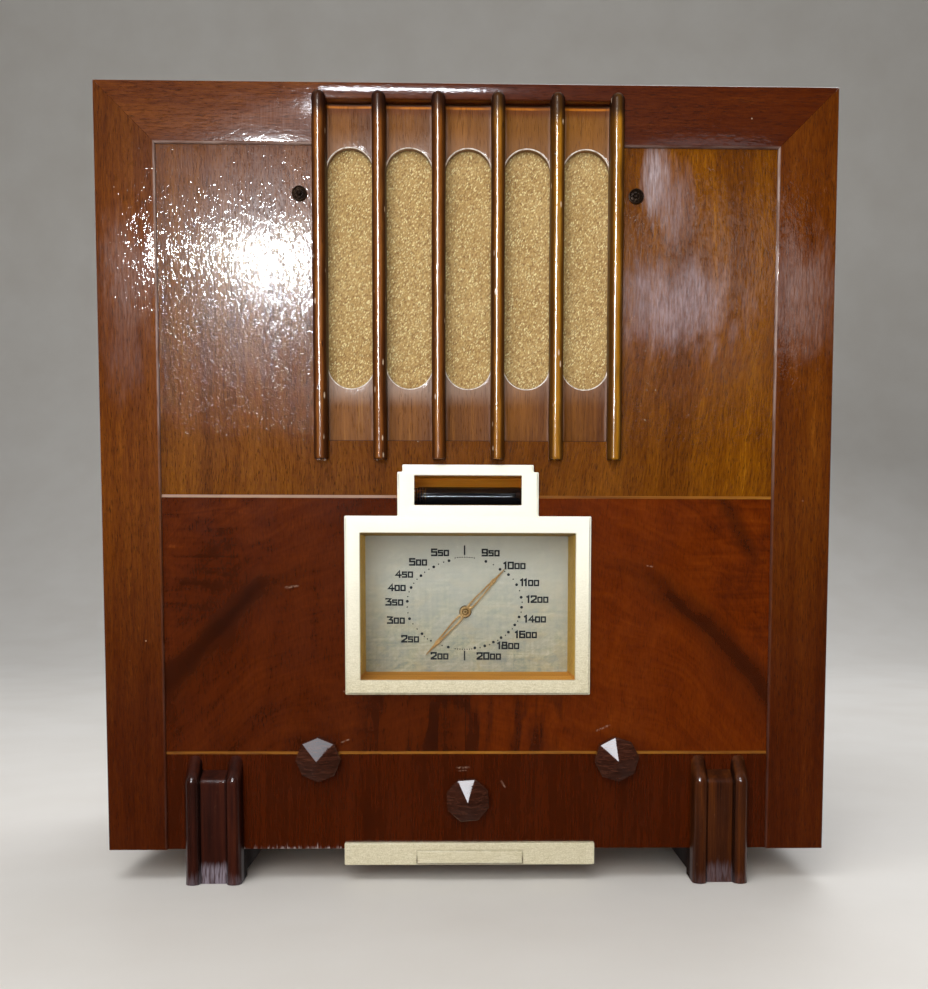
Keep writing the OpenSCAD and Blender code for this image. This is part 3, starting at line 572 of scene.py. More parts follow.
def frame_material(name, axis):
    g = G(name)
    b1 = g.noise(along(axis, 18, 170), 3, 0.55, 0.4)
    s1 = g.noise(along(axis, 3.0, 80), 4, 0.6, 0.2)
    f1 = g.noise(along(axis, 0.8, 8), 3, 0.65)
    fac = g.rng(g.add((b1, 0.34), (s1, 0.26), (f1, 0.40)), 0.30, 0.70, 0, 1, False)
    pore = g.rng(g.noise(along(axis, 0.42, 4.5), 2, 0.55), 0.56, 0.69)
    # painted light: warm is the lit copy of the wood and deep the shaded copy; the stiles go darker towards the bottom
    # and on the right, the rail towards the right
    warm = g.ramp(fac, [(0.0, "#451c02"), (0.4, "#5f2e05"), (0.75, "#753f08"), (1.0, "#8c5210")])
    deep = g.ramp(fac, [(0.0, "#2f0e00"), (0.4, "#431600"), (0.75, "#501f01"), (1.0, "#643004")])
    k = g.rng(g.add(g.z, (g.noise(60, 2), 60)), Z0 + 90, Z0 + 300)
    if axis == "x":
        k = g.rng(g.x, 60, -150, 0.0, 0.60)
    else:
        k = g.m("MULTIPLY", k, g.rng(g.x, -20, 20, 1.0, 0.62))
    col = g.mix(k, deep, warm)
    col = g.mix(g.m("MULTIPLY", pore, 0.6), col, C("#1c0a02"))
    if axis == "z":
        e = g.m("SUBTRACT", g.m("ABSOLUTE", g.x), IX)
        edge_highlight_run = g.rng(g.z, Z0 + 190, Z0 + 330, 0.07, 1.0)
        shade = g.m("MULTIPLY", g.rng(g.z, Z0 + 370, Z0 + 440), g.rng(g.x, 20, -20))
        col = g.mix(g.m("MULTIPLY", shade, 0.36), col, C("#34160a"))
        # painted sheen: pale reflections on the upper stiles
        col = painted_sheen(g, col, -HW + 19, Z0 + 348, 22, 40, 0.40, "#9a8480")
        col = painted_sheen(g, col, HW - 19, Z0 + 338, 24, 42, 0.42, "#9a8480")
        col = painted_sheen(g, col, -HW + 16, Z0 + 300, 16, 30, 0.22, "#8c7674")
    else:
        e = g.m("SUBTRACT", g.z, IZ)
        edge_highlight_run = g.rng(g.x, 150, -60, 0.25, 0.85)
        # painted sheen: a pale reflection on the left of the rail
        col = painted_sheen(g, col, -96, Z1 - 22, 54, 16, 0.30, "#9a8480", (30, 9, 9))
    # painted highlight: a pale line along the inner edge of the frame, stronger from mid height up on the stiles and
    # towards the left on the rail
    line = g.m("MULTIPLY", g.rng(e, 1.5, 0.5), g.rng(g.noise(along(axis, 3, 16), 2), 0.34, 0.6, 0.45, 1.0))
    col = g.mix(g.m("MULTIPLY", g.m("MULTIPLY", line, edge_highlight_run), 0.62), col, C("#c8b4ac"))
    worn = g.rng(g.vor((14, 14, 14)), 0.05, 0.025)
    worn = g.m("MULTIPLY", worn, g.rng(g.noise(42, 2), 0.52, 0.6))
    col = g.mix(g.m("MULTIPLY", worn, 0.6), col, C("#c8ac94"))
    g.set(base=col)
    g.set(rough=g.rng(g.noise(34, 2), 0.3, 0.7, 0.36, 0.50), coat=0.95, coat_rough=0.060 if axis == "z" else 0.10, spec=0.10)
    rid = g.add((g.noise(along(axis, 0.85, 4.2), 1, 0.5), 1.30), (g.noise(along(axis, 1.0, 1.8), 1, 0.5), 0.55))
    lively = g.rng(g.noise(along(axis, 3.0, 6.0), 2, 0.6), 0.42, 0.62, 0.30, 1.35)
    h = g.m("MULTIPLY", g.m("SUBTRACT", g.add((rid, 0.95 if axis == "z" else 0.22), (g.noise(26, 1), 0.8)), 1.0), lively)
    g.set(coat_normal=g.bump(h, 0.085 if axis == "z" else 0.035))
    g.set(normal=g.bump(g.add((f1, 0.8), (pore, -1.0), (h, 0.3)), 0.06))
    return g


M["stile_wood"] = frame_material("stile_wood", "z")
M["rail_wood"] = frame_material("rail_wood", "x")
M["runner_wood"] = wood("runner_wood", [(0, "#0e0604"), (0.45, "#1c0d08"), (0.8, "#28140c"), (1, "#362014")], "d", 12, 3, 0.2, rough=0.8, coat=0.0, size=2.5)
M["runner_wood"].set(spec=0.03)
M["fret_wood"] = None
M["bar_wood"] = None
M["plywood"] = wood("plywood", [(0, "#6b4a2c"), (0.5, "#8a6440"), (1, "#a57c52")], "x", 30, 6, 0.25, rough=0.7, coat=0.0)
M["inlay"] = wood("inlay", [(0, "#4e2806"), (0.4, "#7c4a10"), (0.8, "#9a661c"), (1, "#b8863a")], "x", 14, 5, 0.4, rough=0.4, size=2.5)
_g = M["inlay"]
# painted sheen: the upper left of the inlay is paled towards a grey-pink reflection
_inlay_sheen = _g.m("MULTIPLY", _g.rng(_g.x, -20, -60), _g.rng(_g.z, Z0 + 150, Z0 + 160))
_g.set(base=_g.mix(_g.m("MULTIPLY", _inlay_sheen, 0.5), _g.col, C("#b09c94")))
M["foot_wood"] = None
M["reveal_wood"] = None


def fret_material():
    g = G("fret_wood")
    fac, pore, fibre = grain(g, "z", 14, 2.6, 0.6, 0.3)
    col = g.ramp(fac, [(0.0, "#4a2608"), (0.45, "#6e400f"), (0.8, "#85521a"), (1.0, "#9a6828")])
    # brighter towards the left of each bay, dark beside the bar that shades it
    pitch = 2 * GR / 5
    f = g.m("MULTIPLY", g.m("FRACT", g.m("DIVIDE", g.m("ADD", g.x, GR), pitch)), pitch)
    u = g.m("ABSOLUTE", g.m("SUBTRACT", f, pitch / 2))
    col = g.mix(g.m("MULTIPLY", g.rng(f, 15, 31), 0.42), col, C("#4a2008"))
    gold = g.m("MULTIPLY", g.rng(g.x, -70, 60), g.rng(g.z, GZ1 - 60, GZ1 - 30))
    col = g.mix(g.m("MULTIPLY", gold, 0.5), col, C("#8a5a1c"))
    # painted sheen: paler wood near each bar, standing in for light caught at the edges of the bays
    side = g.m("MULTIPLY", g.rng(g.add(u, (g.noise((2, 4, 30), 2), 2.2)), 12.8, 15.0), g.rng(g.noise((6, 6, 40), 3), 0.3, 0.62, 0.3, 1.0))
    col = g.mix(g.m("MULTIPLY", side, 0.34), col, C("#b8a098"))
    # painted glow: pale light near the rounded ends of the slots, stronger at the lower ends and to the left
    painted_arc_glow = g.m("MULTIPLY", g.rng(g.m("ABSOLUTE", g.m("SUBTRACT", g.z, SZC)), 70, 84, 1.0, 0.0), g.rng(g.m("ABSOLUTE", g.m("SUBTRACT", g.z, SZC)), 50, 66))
    painted_arc_glow = g.m("MULTIPLY", painted_arc_glow, g.m("MULTIPLY", g.rng(g.z, SZC - 10, SZC + 10, 1.0, 0.3), g.rng(g.x, -40, 60, 1.0, 0.25)))
    col = g.mix(g.m("MULTIPLY", painted_arc_glow, 0.36), col, C("#c8b8ae"))
    # painted shade: a darker, redder band just under the top rail, where its edge shades the fret
    warm = g.rng(g.z, GZ1 - 9, GZ1 - 4.0)
    col = g.mix(g.m("MULTIPLY", warm, 0.72), col, C("#6a3204"))
    # painted light: a thin bright orange line across the fret just under the top rail
    thin = g.rng(g.m("ABSOLUTE", g.m("SUBTRACT", g.z, GZ1 - 2.5)), 0.9, 0.35)
    col = g.mix(g.m("MULTIPLY", thin, g.rng(g.noise((16, 4, 4), 2), 0.34, 0.6, 0.35, 0.9)), col, C("#d07a14"))
    # painted shade: dark lines where the fret meets the top rail and the lower panel, and just right of each bar
    rim = g.m("MAXIMUM", g.rng(g.z, GZ1 - 1.6, GZ1 - 0.9), g.rng(g.z, GZ0 + 1.1, GZ0 + 0.5))
    rim = g.m("MAXIMUM", rim, g.m("MULTIPLY", g.rng(g.m("FRACT", g.m("DIVIDE", g.m("ADD", g.x, GR), pitch)), 0.135, 0.122), 0.6))
    col = g.mix(g.m("MULTIPLY", rim, 0.85), col, C("#180902"))
    col = g.mix(g.m("MULTIPLY", pore, 0.35), col, C("#30140a"))
    g.set(base=col)
    varnish(g, rough=0.42, coat=0.55, coat_rough=0.14, peel=0.08, pore=pore, fibre=fibre)
    return g


def bar_material():
    g = G("bar_wood")
    fac, pore, fibre = grain(g, "z", 9, 1.8, 0.5, 0.3)
    dark = g.ramp(fac, [(0.0, "#34160a"), (0.45, "#6e3810"), (0.8, "#8e5420"), (1.0, "#a87038")])
    gold = g.ramp(fac, [(0.0, "#6a3c08"), (0.45, "#98640f"), (0.8, "#ae7a20"), (1.0, "#c4943a")])
    col = g.mix(g.rng(g.add(g.x, (g.noise(40, 2), 50)), -20, 110, 0.1, 1.0), dark, gold)
    pitch = 2 * GR / 5
    v = g.m("SUBTRACT", g.m("MULTIPLY", g.m("FRACT", g.m("DIVIDE", g.m("ADD", g.x, GR + pitch / 2), pitch)), pitch), pitch / 2)
    wave = g.m("MULTIPLY", g.m("SUBTRACT", g.noise((9, 9, 22), 3, 0.55), 0.5), 1.6)
    v = g.m("ADD", v, wave)
    # painted shade: both sides of each bar are darkened where the round face turns away from the light
    col = g.mix(g.m("MULTIPLY", g.rng(v, 0.9, 3.0), 0.82), col, C("#2a1004"))
    col = g.mix(g.m("MULTIPLY", g.rng(v, -1.1, -2.8), 0.82), col, C("#2a1004"))
    top = g.rng(g.add(g.z, (g.noise(9, 2), 12)), Z1 - 20, Z1 - 7)
    col = g.mix(g.m("MULTIPLY", top, 0.86), col, C("#1e0c08"))
    blot = g.rng(g.noise((5, 5, 34), 3, 0.6), 0.52, 0.68)
    col = g.mix(g.m("MULTIPLY", blot, 0.4), col, C("#30170a"))
    chips = g.m("MULTIPLY", g.rng(g.vor((5, 5, 17)), 0.14, 0.07), g.rng(g.noise(26, 2), 0.44, 0.54))
    col = g.mix(g.m("MULTIPLY", chips, 0.8), col, C("#dcc4a8"))
    nick = g.m("MULTIPLY", g.rng(g.vor((5, 5, 22)), 0.12, 0.06), g.rng(g.noise(30, 2), 0.48, 0.56))
    col = g.mix(g.m("MULTIPLY", nick, 0.85), col, C("#120806"))
    g.set(base=col)
    side = g.m("ABSOLUTE", v)
    g.set(rough=0.45, spec=0.08, coat=g.m("MULTIPLY", g.rng(side, 1.9, 3.4, 1.0, 0.04), g.rng(top, 0.2, 1.0, 1.0, 0.22)), coat_rough=0.07)
    h = g.add((g.noise((3.0, 3.0, 5.5), 3, 0.55), 1.6), (chips, -1.2), (nick, -1.0))
    g.set(coat_normal=g.bump(h, 0.075), normal=g.bump(g.add((fibre, 1.0), (h, 0.6)), 0.08))
    return g


FX = (mm("foot_brackets")[1][0] - 17)


def foot_material():
    g = G("foot_wood")
    fac, pore, fibre = grain(g, "z", 12, 2.6, 0.6, 0.3)
    left = g.ramp(fac, [(0.0, "#180a07"), (0.5, "#30120a"), (1.0, "#481e0e")])
    right = g.ramp(fac, [(0.0, "#1c0b06"), (0.5, "#3a1a08"), (1.0, "#5a2c0a")])
    col = g.mix(g.rng(g.x, -10, 10), left, right)
    ox = g.m("SUBTRACT", g.m("ABSOLUTE", g.x), FX)
    # painted shade: dark lines in the creases between the ribs and the middle band
    crease_shade = g.rng(g.m("ABSOLUTE", g.m("SUBTRACT", g.m("ABSOLUTE", ox), 8.2)), 1.3, 0.3)
    col = g.mix(g.m("MULTIPLY", crease_shade, 0.8), col, C("#0c0504"))
    # painted reflection: pale grey-blue near the bottom of the brackets, strongest on the middle block and on the left
    block = g.rng(g.m("ABSOLUTE", ox), 7.6, 8.6, 1.0, 0.0)
    foot = g.m("MULTIPLY", g.rng(g.add(g.z, (g.noise((1.2, 2, 14), 2), 9), (block, -6.0)), 13.0, 6.0), g.rng(g.noise((1.0, 2, 12), 2), 0.34, 0.6, 0.25, 1.0))
    foot = g.m("MULTIPLY", foot, g.m("MULTIPLY", g.rng(g.x, 0, -20, 0.22, 0.75), g.add(0.35, (block, 0.65))))
    col = g.mix(foot, col, C("#8d8490"))
    rub = g.m("MULTIPLY", g.rng(g.noise((1.1, 1.1, 4), 3, 0.7), 0.66, 0.74), 0.4)
    col = g.mix(rub, col, C("#70503c"))
    g.set(base=col)
    varnish(g, rough=0.50, coat=1.0, coat_rough=0.09, peel=0.07, pore=pore, fibre=fibre, size=2.6)
    side = g.rng(g.m("ABSOLUTE", ox), 15.6, 16.7, 1.0, 0.0)
    g.set(coat=g.m("MULTIPLY", side, g.rng(g.d, -4.0, -9.0, 0.0, 1.0)), spec=0.06)
    return g


def reveal_material():
    g = G("reveal_wood")
    fac, pore, fibre = grain(g, "x", 12, 2.0, 0.5, 0.3)
    base = g.ramp(fac, [(0.0, "#b87420"), (0.5, "#d89634"), (1.0, "#eab050")])
    # painted light: the lower ledge is the lit, orange copy of the wood and the top and side reveals the shaded, olive
    # copy; all are paler than the wood to make up for the shade inside the box
    olive = g.ramp(fac, [(0.0, "#b8963a"), (0.5, "#d4b050"), (1.0, "#e4c468")])
    up = g.rng(g.z, Z0 + 108.4, Z0 + 107.4)
    small = g.rng(g.z, Z0 + 205, Z0 + 206)
    col = g.mix(up, olive, base)
    # painted light: the back of the small window is a bright orange that stands in for light reaching it
    deep = g.ramp(fac, [(0.0, "#e08c18"), (0.5, "#f4a62c"), (1.0, "#ffbe48")])
    col = g.mix(small, col, deep)
    # painted shade: dark below the tube in the small window
    col = g.mix(g.m("MULTIPLY", small, g.rng(g.z, Z0 + 214.5, Z0 + 212.5)), col, C("#3a1e08"))
    # painted shade: a dark band along the top reveal of the dial window
    top = g.m("MULTIPLY", g.m("SUBTRACT", 1.0, small), g.rng(g.z, Z0 + 194.6, Z0 + 195.4))
    col = g.mix(g.m("MULTIPLY", top, 0.6), col, C("#3c3214"))
    g.set(base=col, rough=0.55, spec=0.15)
    g.set(normal=g.bump(fibre, 0.06))
    return g


M["fret_wood"] = fret_material()
M["bar_wood"] = bar_material()
M["foot_wood"] = foot_material()
M["reveal_wood"] = reveal_material()


def rim_material():
    g = G("fret_rim")
    # painted highlight: the slot rims are near white, standing in for light on their rounded edges
    n = g.noise((2.0, 2.0, 5.0), 3, 0.6)
    col = g.ramp(n, [(0.25, "#a08c80"), (0.5, "#e6dcd2"), (0.7, "#fbf6f0")])
    g.set(base=col, rough=0.3, coat=0.7, coat_rough=0.1, normal=g.bump(n, 0.12))
    return g


def cloth_material():
    g = G("grille_cloth")
    tilt = g.map(g.p, (1, 1, 1), (0, 0, 0), (0, math.radians(-28), 0))
    fleck = g.rng(g.vor((1.0, 3, 1.9), tilt), 0.44, 0.24)
    fleck2 = g.rng(g.noise((0.9, 3, 1.7), 2, 0.6, 0.3, tilt), 0.52, 0.64)
    lit = g.m("MULTIPLY", fleck, g.rng(g.noise((2.2, 3, 3.6), 2, 0.6, 0, tilt), 0.42, 0.56, 0.35, 1.0))
    dark = g.rng(g.noise((0.85, 3, 1.5), 3, 0.6, 0.2, tilt), 0.52, 0.38)
    tone = g.noise(26, 2)
    col = g.ramp(tone, [(0.3, "#b9965e"), (0.7, "#c9a870")])
    col = g.mix(g.m("MULTIPLY", dark, 0.68), col, C("#80592e"))
    col = g.mix(g.m("MULTIPLY", fleck2, 0.6), col, C("#e8cc88"))
    col = g.mix(g.m("MULTIPLY", lit, 1.0), col, C("#fff2b8"))
    warp = g.m("ABSOLUTE", g.m("SINE", g.m("MULTIPLY", g.x, math.pi / 0.62)))
    weft = g.m("ABSOLUTE", g.m("SINE", g.m("MULTIPLY", g.z, math.pi / 0.62)))
    weave = g.m("MULTIPLY", warp, weft)
    col = g.mix(g.rng(weave, 0.0, 0.5, 0.30, 0.0), col, C("#5c4020"))
    g.set(base=col, rough=0.72, sheen=0.25, sheen_rough=0.4, spec=0.35)
    g.set(normal=g.bump(g.add((weave, 0.5), (lit, 0.8), (fleck2, 0.4)), 0.28))
    return g


def gilt_material(name, foot):
    g = G(name)
    sand = g.noise(0.55, 3, 0.65)
    streak = g.noise((5.0, 5.0, 0.45), 3, 0.6)
    col = g.ramp(g.add((sand, 0.6), (streak, 0.4)), [(0.34, "#b0a684"), (0.5, "#cfc6a8"), (0.66, "#e4dec8")])
    if foot:
        # a thin shadow line where the raised bar meets the strip
        cx = 1.2
        dx = g.m("SUBTRACT", g.m("ABSOLUTE", g.m("SUBTRACT", g.x, cx)), 32.8)
        dz = g.m("SUBTRACT", g.m("ABSOLUTE", g.m("SUBTRACT", g.z, Z0 - 4.4)), 4.1)
        out = g.m("ABSOLUTE", g.m("MAXIMUM", dx, dz))
        out = g.m("MULTIPLY", g.rng(out, 0.75, 0.25), g.rng(g.noise((3, 3, 1), 3, 0.6), 0.3, 0.6, 0.5, 1.0))
        under = g.rng(g.z, Z0 - 2.4, Z0 - 5.4, 0.25, 1.0)
        col = g.mix(g.m("MULTIPLY", g.m("MULTIPLY", out, under), 0.85), col, C("#5a4c34"))
    else:
        # painted highlight: the bezel goes near white towards its top, where it is most lit
        low = g.rng(g.add(g.z, (g.noise(9, 2), 8)), Z0 + 103, Z0 + 206)
        col = g.mix(g.m("MULTIPLY", low, 0.85), col, C("#fffef0"))
        # painted light: the left column of the bezel is paler
        left = g.m("MULTIPLY", g.rng(g.x, -60, -70), g.rng(g.z, Z0 + 100, Z0 + 112))
        col = g.mix(g.m("MULTIPLY", left, 0.2), col, C("#fbf8e8"))
    g.set(base=col, rough=0.42, metal=0.0, spec=0.6, coat=0.25, coat_rough=0.2)
    g.set(normal=g.bump(g.add((sand, 1.0), (g.noise(2.2, 2), 0.8)), 0.07))
    return g


def dial_material():
    g = G("dial_face")
    tilt = g.map(g.p, (1, 1, 1), (0, 0, 0), (0, math.radians(24), 0))
    a = g.noise((15, 13, 6.5), 3, 0.6, 1.4, tilt)
    b = g.noise((34, 30, 2.6), 3, 0.55, 0.8)
    c = g.noise((2.2, 3, 30), 3, 0.55, 0.4)
    d = g.noise((8, 8, 5), 3, 0.6, 2.2)
    n = g.add((a, 0.34), (b, 0.24), (c, 0.20), (d, 0.22))
    col = g.ramp(n, [(0.38, "#7c8a84"), (0.46, "#98a08c"), (0.53, "#aeb096"), (0.61, "#c6c6b2")])
    hue = g.rng(g.noise(17, 3, 0.5, 0.8), 0.40, 0.60)
    col = g.mix(g.m("MULTIPLY", hue, 0.38), col, C("#9aa09e"))
    warm = g.rng(g.noise((21, 21, 12), 3, 0.5, 0.8), 0.50, 0.66)
    col = g.mix(g.m("MULTIPLY", warm, 0.34), col, C("#bcae80"))
    # painted light: the upper part of the dial is lightened against the shade of the bezel above it
    col = g.mix(g.rng(g.z, DZ - 40, Z0 + 194, 0.10, 0.82), col, C("#d6dcd6"))
    g.set(base=col, rough=0.5, spec=0.25)
    g.set(normal=g.bump(n, 0.12))
    return g


def ink_material():
    g = G("dial_ink")
    n = g.noise(0.6, 3, 0.6)
    g.set(base=g.ramp(n, [(0.3, "#101a24"), (0.6, "#1c2832"), (0.75, "#364048")]), rough=0.5)
    return g


def knob_material():
    g = G("knob_bakelite")
    s1 = g.noise((11, 11, 1.5), 3, 0.55, 1.0)
    s2 = g.noise((3.5, 3.5, 0.5), 2, 0.55, 0.3)
    col = g.ramp(g.add((s1, 0.7), (s2, 0.3)), [(0.34, "#26110a"), (0.48, "#371b11"), (0.58, "#422318"), (0.7, "#4e2f22")])
    g.set(base=col, rough=g.rng(s1, 0.3, 0.7, 0.14, 0.22), spec=0.5, coat=0.7, coat_rough=0.05)
    nn = g.bump(g.add((g.noise(1.6, 2, 0.5), 1.0), (g.noise(6, 2), 1.0)), 0.010)
    g.set(normal=nn, coat_normal=nn)
    return g


def metal(name, stops, rough=0.35, size=(0.5, 0.5, 8), bump=0.02, patch=None, metallic=1.0):
    g = G(name)
    b = g.noise(size, 3, 0.6)
    p = g.noise(9, 3, 0.6)
    col = g.ramp(g.add((b, 0.5), (p, 0.5)), stops)
    if patch:
        col = g.mix(g.m("MULTIPLY", g.rng(g.noise(4.5, 4, 0.65), 0.52, 0.68), 0.6), col, C(patch))
    g.set(base=col, metal=metallic, rough=g.rng(p, 0.3, 0.7, rough - 0.08, rough + 0.1))
    g.set(normal=g.bump(g.add((b, 1.0), (g.noise(1.2, 2), 0.6)), bump))
    return g


def plain(name, stops, rough=0.55, size=3.0, bump=0.06, coat=0.0, coat_rough=0.2, fleck=None):
    g = G(name)
    a = g.noise(size, 4, 0.6)
    b = g.noise((size * 6) if not hasattr(size, "__len__") else 20, 2)
    col = g.ramp(g.add((a, 0.65), (b, 0.35)), stops)
    if fleck:
        col = g.mix(g.rng(g.vor(2.6), 0.22, 0.10, 0.0, 0.6), col, C(fleck))
    g.set(base=col, rough=g.rng(b, 0.3, 0.7, rough - 0.06, rough + 0.08), coat=coat, coat_rough=coat_rough)
    g.set(normal=g.bump(a, bump))
    return g


M["fret_rim"] = rim_material()
M["grille_cloth"] = cloth_material()
M["gilt_enamel"] = gilt_material("gilt_enamel", False)
M["strip_enamel"] = gilt_material("strip_enamel", True)
M["dial_face"] = dial_material()
M["dial_ink"] = ink_material()
M["knob_bakelite"] = knob_material()
M["bronze"] = metal("bronze", [(0.35, "#1c1410"), (0.5, "#3c2c20"), (0.65, "#6e5844")], 0.4, 0.7, 0.05, "#15100d", 0.7)
M["brass"] = metal("brass", [(0.35, "#8a6c36"), (0.5, "#b3915a"), (0.65, "#cdae74")], 0.34, (0.4, 6, 0.4), 0.02, "#7a6038")
M["pointer_brass"] = metal("pointer_brass", [(0.35, "#b08c54"), (0.5, "#ccaa72"), (0.65, "#e4cc9c")], 0.42, 0.6, 0.02, "#a8845a", 0.25)
M["vane_brass"] = metal("vane_brass", [(0.35, "#a89464"), (0.5, "#c4b078"), (0.65, "#d8c694")], 0.38, (6, 0.4, 0.5), 0.01)
M["tube_cap"] = metal("tube_cap", [(0.35, "#70747a"), (0.5, "#b0b4ba"), (0.65, "#e8ecf0")], 0.22, 0.5, 0.02)
M["zinc_steel"] = metal("zinc_steel", [(0.35, "#767c7c"), (0.5, "#939999"), (0.65, "#abb0b0")], 0.42, (7, 7, 0.8), 0.03, "#6e6c62")
M["bright_steel"] = metal("bright_steel", [(0.35, "#969696"), (0.5, "#b6b6b6"), (0.65, "#cccccc")], 0.28, (0.4, 9, 0.4), 0.015)
M["bolt_steel"] = metal("bolt_steel", [(0.35, "#74746c"), (0.5, "#8f8f88"), (0.65, "#a6a69e")], 0.4, 0.8, 0.03, "#5c584e")
M["basket_steel"] = plain("basket_steel", [(0.35, "#585c5e"), (0.5, "#6a6e70"), (0.65, "#7c8082")], 0.45, 1.2, 0.05, 0.3)
M["core_iron"] = plain("core_iron", [(0.35, "#28282c"), (0.5, "#3c3c40"), (0.65, "#505054")], 0.5, (9, 9, 0.5), 0.08, 0.2)
M["vane_aluminium"] = metal("vane_aluminium", [(0.35, "#b4b4ac"), (0.5, "#c8c8c2"), (0.65, "#d8d8d4")], 0.4, (6, 0.4, 0.5), 0.01)
M["can_aluminium"] = metal("can_aluminium", [(0.35, "#9a9ea0"), (0.5, "#b2b6b8"), (0.65, "#c8cccc")], 0.36, (8, 8, 0.5), 0.02)
M["dark_bakelite"] = plain("dark_bakelite", [(0.35, "#17100c"), (0.5, "#241a14"), (0.65, "#34261c")], 0.32, 2.0, 0.02, 0.4)
M["paxolin"] = plain("paxolin", [(0.35, "#57331a"), (0.5, "#6e421f"), (0.65, "#85542b")], 0.45, (5, 5, 0.7), 0.03, 0.3)
M["winding_paper"] = plain("winding_paper", [(0.35, "#63401f"), (0.5, "#7c5226"), (0.65, "#94683a")], 0.6, (12, 12, 1.0), 0.12)
M["cone_paper"] = plain("cone_paper", [(0.35, "#2c2822"), (0.5, "#3a352c"), (0.65, "#4a443a")], 0.85, 0.9, 0.12)
M["felt"] = plain("felt", [(0.35, "#3c2f22"), (0.5, "#4a3b2c"), (0.65, "#5e4c3a")], 0.95, 0.5, 0.2)
M["gland_rubber"] = plain("gland_rubber", [(0.35, "#12110f"), (0.5, "#191815"), (0.65, "#24221e")], 0.6, 1.5, 0.04)
M["hardboard"] = plain("hardboard", [(0.32, "#4a2e1a"), (0.5, "#5d3c22"), (0.68, "#74502e")], 0.68, 1.1, 0.10, 0.12, 0.5, "#86623c")


def glass(name, colour, alpha, rough=0.04):
    g = G(name)
    n = g.noise(8, 2)
    g.set(base=g.ramp(n, [(0.3, colour), (0.7, colour)]), rough=g.rng(n, 0.3, 0.7, rough, rough + 0.03), alpha=alpha, spec=0.5)
    return g


M["window_glass"] = glass("window_glass", "#1c2224", 0.045, 0.03)
M["lamp_glass"] = glass("lamp_glass", "#f0e6c0", 0.5, 0.05)
M["valve_glass"] = glass("valve_glass", "#c4cccc", 0.38, 0.05)


def tube_material():
    g = G("tube_glass")
    n = g.noise((14, 1.2, 1.2), 3, 0.5)
    col = g.ramp(n, [(0.35, "#07080c"), (0.6, "#12141b"), (0.75, "#232833")])
    g.set(base=col, rough=0.12, coat=1.0, coat_rough=0.05, spec=0.6)
    g.set(coat_normal=g.bump(n, 0.04))
    return g


M["tube_glass"] = tube_material()

record_slots = {s["node"]: s["material_slot"] for s in frame["record"]["subparts"]}
special = {"cabinet_top": "top_veneer", "frame_top_rail": "rail_wood", "frame_stile_left": "stile_wood", "frame_stile_right": "stile_wood", "foot_runners": "runner_wood"}
for name, o in frame["nodes"].items():
    key = special.get(name, record_slots.get(name))
    g = M.get(key)
    if g is not None:
        o.data.materials.clear()
        o.data.materials.append(g.mat)


def soften(name, width, segments=2, angle=30):
    """Breaks the sharp edges of a carried-over node with a small modifier."""
    o = frame["nodes"][name]
    wd = o.modifiers.new("weld", "WELD")
    wd.merge_threshold = 1e-5
    bv = o.modifiers.new("bevel", "BEVEL")
    bv.width = width * 0.001
    bv.segments = segments
    bv.limit_method = "ANGLE"
    bv.angle_limit = math.radians(angle)


# ------------------------------------------------------------------ frame
def stile(side, name, node):
    b = Build()
    s = side
    ri, ro = 1.5, 1.3
    prof = [(IX, PS)] + [(IX + ri - ri * math.cos(t), ri - ri * math.sin(t)) for t in [i / 7 * math.pi / 2 for i in range(8)]]
    prof += [(HW - ro + ro * math.sin(t), ro - ro * math.cos(t)) for t in [i / 6 * math.pi / 2 for i in range(7)]]
    prof += [(HW, FT), (IX + 6, FT), (IX + 6, PS)]
    n = 40
    rings = []
    for k in range(n + 1):
        ring = []
        for x, d in prof:
            top = Z1 - (HW - x) - 0.05
            e = 0.45 if k in (0, n) else 0.0
            f = k / n
            z = Z0 + (top - Z0) * f
            dent = 0.0
            if d < 1.6:
                dent = 0.10 * wob(z * 0.035, 3 + s) + 0.35 * math.exp(-((z - 418) / 2.2) ** 2) * (1 if s < 0 and abs(x - 199) < 12 else 0)
            ring.append((s * x, d + max(0.0, dent) + e * (0.25 if d < 1 else 0), z))
        rings.append(ring)
    b.loft(rings)
    return b.make(name, M["stile_wood"], 40, replaces=(node,))


stile(1, "stile_right_wood", "frame_stile_right")
stile(-1, "stile_left_wood", "frame_stile_left")


def rail():
    b = Build()
    ri, ro = 1.5, 1.3
    low = [(PS, IZ)] + [(ri - ri * math.sin(t), IZ + ri - ri * math.cos(t)) for t in [i / 7 * math.pi / 2 for i in range(8)]]
    up = [(ro - ro * math.cos(t), Z1 - ro + ro * math.sin(t)) for t in [i / 6 * math.pi / 2 for i in range(7)]]
    back = [(FT, Z1), (FT, IZ + 6), (PS, IZ + 6)]
    prof = low + up + back
    for s in (-1, 1):
        rings = []
        n = 14
        for k in range(n + 1):
            ring = []
            for d, z in prof:
                xe = HW - (Z1 - z) - 0.05
                x = GR + (xe - GR) * k / n
                dd = d + (max(0.0, 0.10 * wob(x * 0.04, 8 + s)) if d < 1.6 else 0)
                ring.append((s * x, dd, z))
            rings.append(ring)
        b.loft(rings)
    r = 0.7
    prof = [(FT, GZ1)] + [(r - r * math.sin(t), GZ1 + r - r * math.cos(t)) for t in [i / 4 * math.pi / 2 for i in range(5)]] + up + [(FT, Z1)]
    rings = [[(x, d, z) for d, z in prof] for x in [-GR + 2 * GR * k / 16 for k in range(17)]]
    b.loft(rings)
    return b.make("top_rail_wood", M["rail_wood"], 40, replaces=("frame_top_rail",))


RAIL = rail()


# ------------------------------------------------------------------ grille


